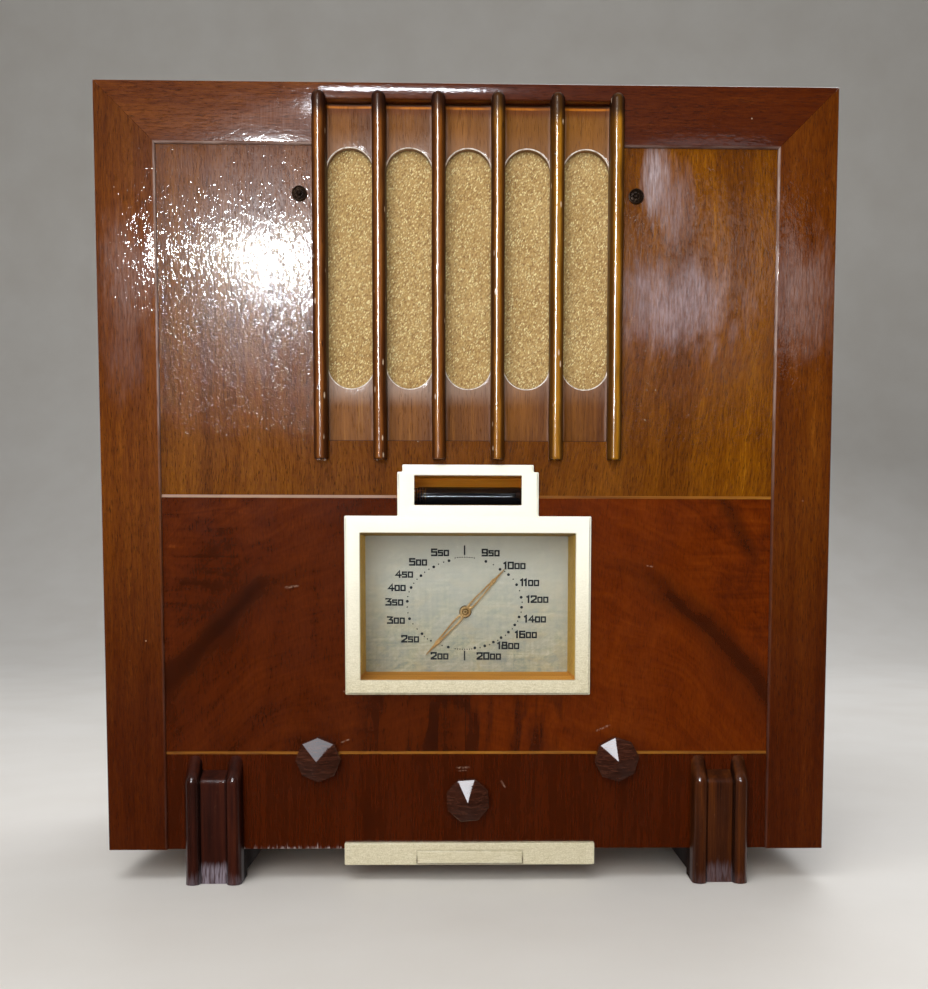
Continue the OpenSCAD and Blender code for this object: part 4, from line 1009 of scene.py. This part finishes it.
def fret():
    b = Build()
    pitch = 2 * GR / 5
    q = (SLOT_H - SLOT_W) / 2
    R = SLOT_W / 2
    zt, zb = GZ1 - SZC, GZ0 - SZC

    def outline(r, n=28):
        pts = []
        for i in range(13):
            pts.append((r, -q + 2 * q * i / 12))
        for i in range(1, n):
            t = math.pi * i / n
            pts.append((r * math.cos(t), q + r * math.sin(t)))
        for i in range(13):
            pts.append((-r, q - 2 * q * i / 12))
        for i in range(1, n):
            t = math.pi + math.pi * i / n
            pts.append((r * math.cos(t), -q + r * math.sin(t)))
        return pts

    def far(p):
        x, z = p
        if abs(z) <= q + 1e-6 and abs(abs(x) - R) < 1e-6:
            return (math.copysign(pitch / 2, x), z)
        cz = q if z > 0 else -q
        dx, dz = x, z - cz
        lim = (zt - q) if z > 0 else (-zb - q)
        k = 1e9
        if abs(dx) > 1e-9:
            k = min(k, (pitch / 2) / abs(dx))
        if abs(dz) > 1e-9:
            k = min(k, lim / abs(dz))
        return (dx * k, cz + dz * k)

    def depth(x, z):
        u = abs(x) / (pitch / 2)
        return FD + 0.55 - 1.25 * u ** 3.2

    base = outline(R)
    fars = [far(p) for p in base]
    # snap the nearest ray to each corner
    for cx in (-pitch / 2, pitch / 2):
        for cz in (zt, zb):
            j = min(range(len(fars)), key=lambda i: (fars[i][0] - cx) ** 2 + (fars[i][1] - cz) ** 2)
            fars[j] = (cx, cz)
    for i in range(5):
        xc = (i - 2) * pitch
        rims = [(R - 0.4, FT - 0.2), (R - 0.4, FD + 1.5), (R - 0.3, FD + 0.95), (R - 0.02, FD + 0.5)]
        ids = []
        for r, d in rims:
            ids.append(b.verts([(xc + x, d, SZC + z) for x, z in outline(r)]))
        ids.append(b.verts([(xc + x, depth(x, z) + 0.06, SZC + z) for x, z in outline(R + 0.38)]))
        ids.append(b.verts([(xc + x, depth(x, z), SZC + z) for x, z in outline(R + 0.8)]))
        base2 = outline(R + 0.8)
        for k in range(1, 9):
            f = k / 8
            ring = []
            for p, e in zip(base2, fars):
                x, z = p[0] + (e[0] - p[0]) * f, p[1] + (e[1] - p[1]) * f
                ring.append((xc + x, depth(x, z), SZC + z))
            ids.append(b.verts(ring))
        for n, (a, c) in enumerate(zip(ids, ids[1:])):
            b.strip(a, c, True, 1 if n in (2, 3) else 0)
    return b.make("fret_front", [M["fret_wood"], M["fret_rim"]], 50, replaces=("grille_fret",), merge=2e-5)


fret()


def bars():
    b = Build()
    lo, hi = mm("grille_bars")
    out = -lo[1]
    r = hi[0] - GR
    zb, zt = lo[2], hi[2]
    yc = -out + r
    pitch = 2 * GR / 5
    back = FD + 0.5
    for i in range(6):
        xc = -GR + i * pitch
        rings = []
        zs = [zb, zb + 0.25, zb + 0.7] + [zb + 1.2 + (zt - r - zb - 1.2) * k / 60 for k in range(61)]
        for k in range(1, 9):
            zs.append(zt - r + r * math.sin(k / 8 * math.pi / 2) * 0.999)
        for z in zs:
            sc = 1.0
            if z > zt - r:
                sc = math.sqrt(max(0.0, 1 - ((z - (zt - r)) / r) ** 2)) * 0.98 + 0.02
            if z <= zb:
                sc = 0.90
            elif z < zb + 0.5:
                sc = 0.955
            elif z < zb + 1:
                sc = 0.99
            rr = r * sc * (1 - 0.02 * (1 + wob(z * 0.045, i + 2)))
            xx = xc + 0.16 * wob(z * 0.018, i)
            yy = yc + (0.10 * (1 + wob(z * 0.03, i + 11)))
            ring = [(xx - rr, back, z)]
            for k in range(17):
                t = math.pi * k / 16
                ring.append((xx - rr * math.cos(t), yy - rr * math.sin(t), z))
            ring.append((xx + rr, back, z))
            rings.append(ring)
        b.loft(rings)
    return b.make("bar_rods", M["bar_wood"], 50, replaces=("grille_bars",))


BARS = bars()


def cloth():
    lo, hi = mm("speaker_cloth")
    b = Build()
    nx, nz = 111, 100
    rows = []
    d0 = (lo[1] + hi[1]) / 2
    for j in range(nz + 1):
        z = lo[2] + (hi[2] - lo[2]) * j / nz
        rows.append(b.verts([(lo[0] + (hi[0] - lo[0]) * i / nx,
                              d0 - 0.12 + 0.10 * wob(i * 0.06 + j * 0.02, 4) + 0.06 * wob(j * 0.11, 6), z) for i in range(nx + 1)]))
    for a, c in zip(rows, rows[1:]):
        b.strip(a, c, False)
    o = b.make("grille_cloth_sheet", M["grille_cloth"], 80, replaces=("speaker_cloth",))
    return o


cloth()


def rosettes():
    b = Build()
    lo, hi = mm("panel_bolts")
    r = (hi[2] - lo[2]) / 2
    cz = (hi[2] + lo[2]) / 2
    cx = hi[0] - r
    face = lo[1]
    for s in (-1, 1):
        n = 48
        rings = []
        for rad, dep, fl in ((r, PS + 0.3, 0), (r, face + 1.0, 0), (r * 0.97, face + 0.55, 0), (r * 0.88, face + 0.40, 0),
                             (r * 0.80, face + 0.55, 0), (r * 0.74, face + 0.95, 0), (r * 0.66, face + 0.75, 0.5),
                             (r * 0.52, face + 0.30, 1.0), (r * 0.38, face + 0.35, 0.8), (r * 0.30, face + 0.80, 0.2),
                             (r * 0.24, face + 0.55, 0), (r * 0.14, face + 0.22, 0), (r * 0.02, face + 0.12, 0)):
            ring = []
            for k in range(n):
                t = 2 * math.pi * k / n
                w = 0.35 * fl * (0.5 - 0.5 * math.cos(8 * t))
                ring.append((s * cx + rad * math.cos(t), dep + w, cz + rad * math.sin(t)))
            rings.append(ring)
        b.loft(rings)
        # the shank and nut behind, as on the carried-over bolt
        rings = [[(s * cx + 2 * math.cos(2 * math.pi * k / 20), d, cz + 2 * math.sin(2 * math.pi * k / 20)) for k in range(20)] for d in (PS, hi[1])]
        b.loft(rings)
        nd = hi[1] - 5
        rings = [[(s * cx + q * math.cos(math.pi * k / 3), d, cz + q * math.sin(math.pi * k / 3)) for k in range(6)]
                 for q, d in ((3.6, nd), (4.0, nd + 0.4), (4.0, nd + 2.3), (3.6, nd + 2.6))]
        b.loft(rings)
    return b.make("rosette_bolts", M["bronze"], 40, replaces=("panel_bolts",))


rosettes()


# ------------------------------------------------------------------ bezel and strip
def bezel():
    b = Build()
    out = [(-75.3, 96.8), (75.3, 96.8), (75.3, 206.2), (43.0, 206.2), (43.0, 232.8), (39.9, 232.8), (39.9, 237.2),
           (-39.9, 237.2), (-39.9, 232.8), (-43.0, 232.8), (-43.0, 206.2), (-75.3, 206.2)]
    out = round_poly([(x, Z0 + z) for x, z in out], 0.7, 3)
    h1 = round_poly(rect(-66.1, 66.1, Z0 + 105.7, Z0 + 196), 0.6, 3)
    h2 = round_poly(rect(-32.7, 32.7, Z0 + 212.7, Z0 + 230.8), 0.6, 3)
    plate(b, out, [h1, h2], -1.5, PS, r=0.55, n=4, steps=((0.0, -0.55), (0.15, -0.72), (0.62, -0.80)), hole_r=0.45)
    return b.make("bezel_casting", M["gilt_enamel"], 28, replaces=("bezel",))


BEZEL = bezel()


def strip():
    b = Build()
    lo, hi = mm("base_strip")
    out = round_poly(rect(lo[0], hi[0], lo[2], hi[2]), 0.7, 3)
    plate(b, out, [], -1.5, PS, r=0.6, n=4)
    cx = (lo[0] + hi[0]) / 2
    rb = round_poly(rect(cx - 32.8, cx + 32.8, Z0 - 8.5, Z0 - 0.3), 0.8, 3)
    plate(b, rb, [], -3.3, -1.4, r=0.7, n=4, back=False)
    return b.make("strip_casting", M["strip_enamel"], 28, replaces=("base_strip",))


STRIP = strip()


# ------------------------------------------------------------------ dial box
def dial_box():
    b = Build()
    lo, hi = mm("dial_box")

    def ring(x0, x1, z0, z1, d):
        pts = round_poly(rect(x0, x1, z0, z1), 0.8, 2)
        return [(x, d, z) for x, z in pts]

    front, back = lo[1], hi[1]
    rings = [ring(lo[0], hi[0], lo[2], hi[2], back), ring(lo[0], hi[0], lo[2], hi[2], front + 0.4),
             ring(lo[0] + 0.4, hi[0] - 0.4, lo[2] + 0.4, hi[2] - 0.4, front),
             ring(-66.6, 66.6, Z0 + 105.0, Z0 + 196.5, front), ring(-66.4, 66.4, Z0 + 105.2, Z0 + 196.3, front + 0.3)]
    for k in range(1, 7):
        f = k / 6
        w = 0.12 * math.sin(5 * f)
        rings.append(ring(-66.4 + 0.2 * f + w, 66.4 - 1.4 * f - w, Z0 + 105.2 + 2.0 * f, Z0 + 196.3 - 0.9 * f, front + 0.3 + (back - front - 0.3) * f))
    rings.append(rings[0])
    b.loft(rings, True, False, False)
    return b.make("dial_box_walls", M["reveal_wood"], 35, replaces=("dial_box",))


dial_box()


# ------------------------------------------------------------------ dial figures
DIGITS = {
    "0": [[(0, 0), (1, 0), (1, 1), (0, 1), "closed"]],
    "1": [[(0.1, 0.86), (0.5, 1.0), (0.5, 0.0)]],
    "2": [[(0, 0.86), (0, 1), (1, 1), (1, 0.58), (0, 0.08), (0, 0), (1, 0)]],
    "3": [[(0, 1), (1, 1), (0.42, 0.58), (1, 0.5), (1, 0), (0, 0)]],
    "4": [[(0.78, 0), (0.78, 1), (0, 0.3), (1.08, 0.3)]],
    "5": [[(1, 1), (0, 1), (0, 0.56), (1, 0.56), (1, 0), (0, 0)]],
    "6": [[(1, 1), (0, 1), (0, 0), (1, 0), (1, 0.56), (0, 0.56)]],
    "8": [[(0.08, 0.53), (0.08, 1), (0.92, 1), (0.92, 0.53), (1, 0.5), (1, 0), (0, 0), (0, 0.5), "closed"], [(0.1, 0.53), (0.9, 0.53)]],
    "9": [[(0, 0), (1, 0), (1, 1), (0, 1), (0, 0.46), (1, 0.46)]],
}
FACE = PLATE - 0.16


def ribbon(b, pts, w, closed=False, d0=None, d1=None):
    d0 = FACE if d0 is None else d0
    d1 = PLATE if d1 is None else d1
    n = len(pts)
    left, right = [], []
    for i in range(n):
        p = Vector(pts[i])
        a = Vector(pts[i - 1]) if (i > 0 or closed) else None
        c = Vector(pts[(i + 1) % n]) if (i < n - 1 or closed) else None
        e1 = (p - a).normalized() if a is not None else None
        e2 = (c - p).normalized() if c is not None else None
        if e1 is None:
            q = p - e2 * (w / 2)
            nrm = Vector((-e2.y, e2.x))
            left.append(q + nrm * w / 2)
            right.append(q - nrm * w / 2)
        elif e2 is None:
            q = p + e1 * (w / 2)
            nrm = Vector((-e1.y, e1.x))
            left.append(q + nrm * w / 2)
            right.append(q - nrm * w / 2)
        else:
            n1, n2 = Vector((-e1.y, e1.x)), Vector((-e2.y, e2.x))
            m = n1 + n2
            m = m / max(0.45, m.dot(n1))
            left.append(p + m * w / 2)
            right.append(p - m * w / 2)
    lf = b.verts([(q.x, d0, q.y) for q in left])
    rf = b.verts([(q.x, d0, q.y) for q in right])
    lb = b.verts([(q.x, d1, q.y) for q in left])
    rb = b.verts([(q.x, d1, q.y) for q in right])
    for i in range(n if closed else n - 1):
        j = (i + 1) % n
        b.face([lf[i], lf[j], rf[j], rf[i]])
        b.face([lf[i], lb[i], lb[j], lf[j]])
        b.face([rf[i], rf[j], rb[j], rb[i]])
    if not closed:
        b.face([lf[0], rf[0], rb[0], lb[0]])
        b.face([lf[-1], lb[-1], rb[-1], rf[-1]])


def number(b, text, cx, cz):
    big, small = 5.0, 4.1
    sizes = [big if i < len(text) - 2 else small for i in range(len(text))]
    widths = []
    for ch, h in zip(text, sizes):
        widths.append((0.60 if ch != "1" else 0.20) * h)
    gap = 1.35
    total = sum(widths) + gap * (len(text) - 1)
    x = cx - total / 2
    z = cz - big / 2 + 0.35
    for ch, h, wd in zip(text, sizes, widths):
        st = 1.08 if h == big else 0.98
        for line in DIGITS[ch]:
            closed = line[-1] == "closed"
            pts = [p for p in line if p != "closed"]
            if ch == "1":
                pp = [(x + wd * 0.5 + (u - 0.5) * h * 0.45, z + v * (h - st)) for u, v in pts]
            else:
                pp = [(x + u * wd, z + v * (h - st)) for u, v in pts]
            ribbon(b, pp, st, closed)
        x += wd + gap


def dot(b, cx, cz, r, n=14):
    f = b.verts([(cx + r * math.cos(2 * math.pi * k / n), FACE, cz + r * math.sin(2 * math.pi * k / n)) for k in range(n)])
    k2 = b.verts([(cx + r * math.cos(2 * math.pi * k / n), PLATE, cz + r * math.sin(2 * math.pi * k / n)) for k in range(n)])
    b.face(f)
    b.strip(f, k2)


def figures():
    b = Build()
    nums = [("550", -18.0, 185.0), ("500", -32.2, 178.8), ("450", -41.3, 171.0), ("400", -46.1, 162.3), ("350", -47.7, 152.9),
            ("300", -46.7, 141.1), ("250", -37.5, 128.9), ("200", -18.4, 117.8), ("2000", 13.7, 117.7), ("1800", 26.6, 124.6),
            ("1600", 38.1, 131.8), ("1400", 44.0, 142.0), ("1200", 45.5, 154.8), ("1100", 40.4, 165.7), ("1000", 30.5, 176.6),
            ("950", 14.8, 184.9)]
    for t, x, z in nums:
        number(b, t, x, Z0 + z)
    left = [(-12.2, 179.4), (-22.1, 175.4), (-30.4, 169.7), (-36.8, 162.0), (-39.3, 153.1), (-37.9, 141.8), (-29.8, 132.0),
            (-24.0, 127.4), (-12.7, 123.3)]
    right = [(11.7, 179.0), (20.9, 173.9), (26.4, 170.5), (31.7, 164.0), (34.7, 155.8), (35.0, 149.3), (33.4, 143.0), (30.6, 137.8),
             (26.5, 133.1), (21.7, 129.5), (16.7, 126.6), (11.1, 124.1), (4.6, 122.8)]
    for line, k in ((left, 3), (right, 2)):
        for i, (x, z) in enumerate(line):
            dot(b, x, Z0 + z, 0.92 if not (line is left and i == 7) else 0.6)
            if i + 1 < len(line):
                x2, z2 = line[i + 1]
                for q in range(1, k):
                    f = q / k
                    mx, mz = x + (x2 - x) * f, z + (z2 - z) * f
                    rx, rz = mx - DX, mz + Z0 - DZ
                    n = math.hypot(rx, rz)
                    dot(b, mx + rx / n * 0.5, Z0 + mz + rz / n * 0.5, 0.42)
    for cz, up in ((182.7, 188.9), (121.3, 115.1)):
        ribbon(b, [(-2.1, Z0 + cz + (0.8 if up > cz else -0.8)), (-2.1, Z0 + up)], 0.9)
        for k in range(-4, 5):
            a = k * 0.042
            rr = 35.2 if up > cz else 24.9
            zz = Z0 + cz - 1.0 - rr * (1 - math.cos(a)) if up > cz else Z0 + cz + 0.6 + rr * (1 - math.cos(a))
            dot(b, -2.0 + k * 1.55, zz, 0.40, 10)
    return b.make("dial_figures", M["dial_ink"], 0)


figures()


# ------------------------------------------------------------------ pointer
def pointer():
    b = Build()
    lo, hi = mm("pointer")
    ang = math.atan2(hi[0] - DX, hi[2] - DZ)
    length = math.hypot(hi[0] - DX, hi[2] - DZ) - 0.2
    ca, sa = math.cos(ang), math.sin(ang)
    mid, half = 40.8, 0.4

    def put(u, v, d):
        return (DX + u * ca + v * sa, d, DZ - u * sa + v * ca)

    k = length / 38.0
    outer = [(2.6, 1.7), (6, 1.95), (10, 1.9), (16, 1.55), (22, 1.30), (25, 1.1), (26.3, 1.35), (27.3, 1.42), (28.3, 1.1), (29.5, 0.72),
             (33, 0.5), (37.2, 0.28), (38.0, 0.12)]
    inner = [(4.6, 0.0), (5.6, 0.85), (10, 1.0), (16, 0.80), (22, 0.42), (24, 0.0)]
    for s in (1, -1):
        def lerp(tab, v):
            for (a, wa), (c, wc) in zip(tab, tab[1:]):
                if a <= v <= c:
                    return wa + (wc - wa) * (v - a) / (c - a)
            return 0.0
        vs = sorted(set([v for v, w in outer] + [v for v, w in inner]))
        for side in (1, -1):
            rings = []
            for v in vs:
                wo = lerp(outer, v)
                wi = lerp(inner, v)
                m = (wo + wi) / 2
                vv = v * k * s
                rings.append([put(side * wi, vv, mid + half), put(side * wi, vv, mid - half * 0.35),
                              put(side * m, vv, mid - half), put(side * wo, vv, mid - half * 0.35), put(side * wo, vv, mid + half)])
            b.loft(rings)
    n = 40
    for tab in (((3.5, 41.8), (3.5, 40.2), (3.3, 39.85), (2.9, 39.7), (2.5, 39.8), (2.3, 40.1), (2.1, 40.0), (1.9, 39.8), (1.75, 41.8)),
                ((1.6, 41.5), (1.6, 39.6), (1.35, 39.35), (0.75, 39.3), (0.65, 39.75), (0.02, 39.9))):
        rings = [[(DX + r * math.cos(2 * math.pi * i / n), d, DZ + r * math.sin(2 * math.pi * i / n)) for i in range(n)] for r, d in tab]
        b.loft(rings, True, False, tab[-1][0] < 0.1)
    return b.make("pointer_needle", M["pointer_brass"], 35, body="pointer", replaces=("pointer",))


pointer()


# ------------------------------------------------------------------ indicator tube
def tube():
    lo, hi = mm("indicator_tube")
    r = (hi[2] - lo[2]) / 2
    cz, cd = (hi[2] + lo[2]) / 2, (hi[1] + lo[1]) / 2
    lo[0], hi[0] = min(lo[0], -33.6), max(hi[0], 34.6)
    b = Build()

    def revolve(prof, n=40, mi=0):
        rings = [[(x, cd - q * math.cos(2 * math.pi * i / n), cz + q * math.sin(2 * math.pi * i / n)) for i in range(n)] for x, q in prof]
        b.loft(rings, True, True, True, mi)

    # the glass is dark; a winding shows at its left end, a bright cap at its right
    revolve([(lo[0] + 1.0, 0.3), (lo[0] + 1.0, r * 0.86), (lo[0] + 1.6, r * 0.97), (lo[0] + 2.6, r), (hi[0] - 1.6, r), (hi[0] - 1.0, r * 0.97),
             (hi[0] - 0.7, r * 0.84), (hi[0] - 0.6, r * 0.5), (hi[0] - 0.6, 0.3)])
    for x in (lo[0] + 2.0, lo[0] + 3.7, lo[0] + 5.4, lo[0] + 7.1):
        revolve([(x - 0.35, r * 0.9), (x - 0.28, r * 1.0), (x, r * 1.035), (x + 0.28, r * 1.0), (x + 0.35, r * 0.9)], 40, 1)
    revolve([(lo[0], 0.3), (lo[0], r * 0.9), (lo[0] + 1.2, r * 0.95), (lo[0] + 1.3, 0.3)], 40, 1)
    revolve([(hi[0] - 1.2, 0.3), (hi[0] - 1.2, r * 0.62), (hi[0], r * 0.62), (hi[0], 0.3)], 40, 1)
    return b.make("indicator_glass", [M["tube_glass"], M["tube_cap"]], 35, replaces=("indicator_tube",))


TUBE = tube()


# ------------------------------------------------------------------ knobs
def knob(name, node, body, cx, cz, turn):
    b = Build()
    lo, hi = mm(node)
    R = 14.0
    tip, rim, back = lo[1], -5.2, hi[1]

    def ring(r, d, soft=0.0):
        pts = []
        for k in range(8):
            a0 = math.radians(90 - turn + 45 * k)
            a1 = math.radians(90 - turn + 45 * (k + 1))
            p0 = (cx + r * math.cos(a0), cz + r * math.sin(a0))
            p1 = (cx + r * math.cos(a1), cz + r * math.sin(a1))
            for f in (soft, 0.5, 1 - soft):
                pts.append((p0[0] + (p1[0] - p0[0]) * f, d, p0[1] + (p1[1] - p0[1]) * f))
        return pts

    sl = (rim - tip) / R
    rows = [ring(3.3, back, 0.03), ring(R - 0.3, back, 0.03), ring(R, back - 0.35, 0.03), ring(R, rim + 0.45, 0.03), ring(R - 0.12, rim + 0.12, 0.03),
            ring(R - 0.45, tip + (R - 0.45) * sl + 0.02, 0.03)]
    for r in (10.0, 6.0, 2.6, 1.0, 0.45):
        rows.append(ring(r, tip + r * sl + (0.0 if r > 0.5 else 0.03), 0.03 if r > 0.5 else 0.2))
    rows.append(ring(0.12, tip + 0.12, 0.3))
    b.loft(rows, True, False, True)
    # the bore that takes the spindle
    bore = [[(cx + q * math.cos(2 * math.pi * (i + 4.5) / 24 + math.radians(-turn)), d, cz + q * math.sin(2 * math.pi * (i + 4.5) / 24 + math.radians(-turn))) for i in range(24)]
            for q, d in ((3.3, back), (3.25, back - 1.0), (3.25, back - 8.0), (0.3, back - 9.0))]
    b.loft(bore, True, False, True)
    return b.make(name, M["knob_bakelite"], 12, body=body, replaces=(node,))


KNOBS = [knob("tuning_grip", "tuning_knob", "tuning", 0.0, TZ, 18.5),
         knob("volume_grip", "volume_knob", "volume", -KX, KZ, 0.0),
         knob("waveband_grip", "waveband_knob", "waveband", KX, KZ, -5.5)]


# ------------------------------------------------------------------ feet
def brackets():
    b = Build()
    lo, hi = mm("foot_brackets")
    back, top = 2.6, hi[2]
    for s in (-1, 1):
        cx = s * (hi[0] - 17)

        def crest(front, zb, r, phi, ztop):
            """(d, z, angle) along the crest, from the floor up to the panel."""
            pts = []
            for k in range(9):
                z = 7.5 * k / 8
                f = 1 - k / 8
                pts.append((front + 0.9 - 0.9 * f * f, z, -math.degrees(math.atan(1.8 * f / 7.5)) * -1))
            n = 22
            for k in range(1, n + 1):
                z = 7.5 + (zb - 7.5) * k / n
                pts.append((front + 0.9 + 0.06 * wob(z * 0.12, 5 + s), z, 0.0))
            fr = front + 0.9
            for k in range(1, 9):
                a = math.radians(phi * k / 8)
                pts.append((fr + r - r * math.cos(a), zb + r * math.sin(a), phi * k / 8))
            a = math.radians(phi)
            d1, z1 = fr + r - r * math.cos(a), zb + r * math.sin(a)
            for k in range(1, 9):
                f = k / 8
                d = d1 + (back - 0.1 - d1) * f
                z = z1 + (ztop - z1) * f
                pts.append((d, z, phi * (1 - f * 0.35)))
            return pts

        for m in (-1, 1):
            rings = []
            for d, z, a in crest(lo[1], Z0 + 42, 7.5, 46, top - 0.05):
                t = math.radians(a)
                nd, nz = math.cos(t), -math.sin(t)
                if z < 7.6:
                    nd, nz = 1.0, 0.0
                ring = []
                e = (d + nd * 4.5, z + nz * 4.5)
                ring.append((cx + m * 12.5 - 4.5, back, max(0.0, e[1])))
                for k in range(15):
                    q = math.pi * k / 14
                    dep = 4.5 - 4.5 * math.sin(q)
                    dd, zz = d + nd * dep, z + nz * dep
                    ring.append((cx + m * 12.5 - 4.5 * math.cos(q), min(back, dd), max(0.0, zz)))
                ring.append((cx + m * 12.5 + 4.5, back, max(0.0, e[1])))
                rings.append(ring)
            b.loft(rings)
        rings = []
        for d, z, a in crest(lo[1] + 4.5, Z0 + 41.6, 5.0, 62, Z0 + 49.7):
            row = []
            for k in range(15):
                x = -8.3 + 16.6 * k / 14
                lip = 0.35 * max(0.0, (abs(x) - 7.2) / 1.1)
                row.append((cx + x, min(back, d + 0.05 * wob(x * 0.9 + z * 0.05, 9) + lip), z))
            rings.append([(cx - 8.3, back, z)] + row + [(cx + 8.3, back, z)])
        b.loft(rings)
        # the block behind, under the front panel
        rings = []
        for ins, z in ((0.5, 0.0), (0.0, 0.5), (0.0, Z0 - 0.4), (0.3, Z0)):
            rings.append([(cx - 17 + ins, back - 1.5, z), (cx + 17 - ins, back - 1.5, z), (cx + 17 - ins, FT - ins, z), (cx - 17 + ins, FT - ins, z)])
        b.loft(rings, mi=1)
    return b.make("bracket_carving", [M["foot_wood"], M["runner_wood"]], 38, replaces=("foot_brackets",))


FEET = brackets()

for node, width in (("foot_runners", 0.8), ("cabinet_top", 0.8), ("cabinet_side_left", 0.5), ("cabinet_side_right", 0.5)):
    soften(node, width)

# ------------------------------------------------------------------ floor and light
floor_mat = G("studio_floor")
_n = floor_mat.noise(120, 3)
floor_mat.set(base=floor_mat.ramp(_n, [(0.3, "#e4e1dc"), (0.7, "#eae8e4")]), rough=0.55, spec=0.3)
fb = bmesh.new()
prof = [(-4.0, 0.0), (1.4, 0.0)]
for i in range(1, 17):
    t = i / 16 * math.pi / 2
    prof.append((1.4 + 1.2 * math.sin(t), 1.2 - 1.2 * math.cos(t)))
prof.append((2.6, 4.0))
cols = []
for x in (-16.0, -6.0, -2.0, 0.0, 2.0, 6.0, 16.0):
    cols.append([fb.verts.new((x, y, z - 0.0002)) for y, z in prof])
for a, c in zip(cols, cols[1:]):
    for i in range(len(prof) - 1):
        fb.faces.new((a[i], c[i], c[i + 1], a[i + 1]))
fm = bpy.data.meshes.new("floor")
fb.to_mesh(fm)
fb.free()
for p in fm.polygons:
    p.use_smooth = True
floor = bpy.data.objects.new("floor", fm)
link(floor)
fm.materials.append(floor_mat.mat)
floor.visible_glossy = False


def lamp(name, loc, target, size, power, colour=(1, 1, 1), diffuse=True, glossy=True, shape="DISK"):
    d = bpy.data.lights.new(name, "AREA")
    d.shape = shape
    d.size = size
    d.energy = power
    d.color = colour
    o = bpy.data.objects.new(name, d)
    link(o)
    o.location = loc
    o.rotation_mode = "QUATERNION"
    o.rotation_quaternion = (Vector(target) - Vector(loc)).to_track_quat("-Z", "Y")
    o.visible_camera = False
    o.visible_diffuse = diffuse
    o.visible_glossy = glossy
    return o


def only_on(name, o, *things):
    col = bpy.data.collections.new(name)
    for t in things:
        col.objects.link(t)
    o.light_linking.receiver_collection = col


lamp("front_soft", (-0.25, -2.0, 0.75), (0, -0.1, 0.22), 1.5, 30, (1.0, 0.98, 0.95), True, False)
lamp("top_soft", (-0.5, -1.0, 1.9), (0, 0, 0.2), 1.6, 20, (1.0, 0.985, 0.97), True, False)
lamp("rim_back", (0.6, 1.3, 1.7), (0, 0, 0.25), 1.4, 16, (0.97, 0.98, 1.0), True, True)
lamp("gloss_soft", (-0.32, -1.09, 1.30), (0, -0.12, 0.12), 0.66, 11, (0.93, 0.95, 1.0), False, True)
only_on("soft_gloss", bpy.data.objects["gloss_soft"], TUBE, FEET, STRIP, BEZEL)
only_on("facet_gloss", lamp("facet_soft", (-0.32, -1.09, 1.30), (0, -0.12, 0.12), 0.98, 24.0, (0.93, 0.95, 1.0), False, True), KNOBS[0], KNOBS[2])
lamp("gloss_right", (0.33, -1.09, 0.60), (0.14, -0.116, 0.36), 0.22, 0.12, (0.90, 0.94, 1.0), False, True)
lamp("flash", (-0.248, -0.974, 0.605), (-0.05, -0.116, 0.33), 0.042, 2.9, (0.92, 0.96, 1.0), False, True)
rods = bpy.data.collections.new("upright_gloss")
rods.objects.link(BARS)
line = lamp("upright_line", (-0.248, -0.974, 0.605), (-0.05, -0.116, 0.33), 0.06, 7.0, (1.0, 0.98, 0.94), False, True, "RECTANGLE")
line.data.size_y = 1.1
line.light_linking.receiver_collection = rods
core = lamp("upright_core", (-0.248, -0.974, 0.600), (-0.05, -0.116, 0.33), 0.125, 11.0, (1.0, 0.98, 0.95), False, True, "RECTANGLE")
core.data.size_y = 0.36
core.light_linking.receiver_collection = rods


only_on("tube_gloss", lamp("tube_line", (0.0, -1.0, 0.05), (0, -0.1, 0.24), 1.0, 3.5, (0.85, 0.92, 1.0), False, True, "RECTANGLE"), TUBE)
bpy.data.objects["tube_line"].data.size_y = 0.02
only_on("rail_gloss", lamp("rail_line", (-0.088, -0.976, 0.824), (-0.04, -0.119, 0.478), 0.20, 2.2, (0.86, 0.92, 1.0), False, True, "RECTANGLE"), RAIL)
bpy.data.objects["rail_line"].data.size_y = 0.032
only_on("knob_gloss", lamp("knob_soft", (-0.38, -1.09, 1.36), (-0.09, -0.12, 0.08), 2.1, 34, (0.82, 0.91, 1.0), False, True), KNOBS[1])

only_on("foot_gloss", lamp("foot_flash", (-0.248, -0.974, 0.605), (0, -0.13, 0.06), 0.12, 4.5, (0.92, 0.96, 1.0), False, True), FEET)

world = bpy.data.worlds.new("studio")
scene.world = world
world.use_nodes = True
wt = world.node_tree
wt.nodes.clear()
wo = wt.nodes.new("ShaderNodeOutputWorld")
bg = wt.nodes.new("ShaderNodeBackground")
tc = wt.nodes.new("ShaderNodeTexCoord")
sx = wt.nodes.new("ShaderNodeSeparateXYZ")
mr = wt.nodes.new("ShaderNodeMapRange")
mr.interpolation_type = "SMOOTHSTEP"
mr.inputs["From Min"].default_value = -0.35
mr.inputs["From Max"].default_value = 0.5
mr.inputs["To Min"].default_value = 0.012
mr.inputs["To Max"].default_value = 0.75
wt.links.new(tc.outputs["Generated"], sx.inputs[0])
wt.links.new(sx.outputs[1], mr.inputs["Value"])
bg.inputs["Color"].default_value = (1.0, 0.985, 0.965, 1)
wt.links.new(mr.outputs[0], bg.inputs["Strength"])
wt.links.new(bg.outputs[0], wo.inputs[0])

scene.view_settings.view_transform = "Standard"
scene.view_settings.look = "None"
scene.view_settings.exposure = 0.0
scene.view_settings.gamma = 1.0
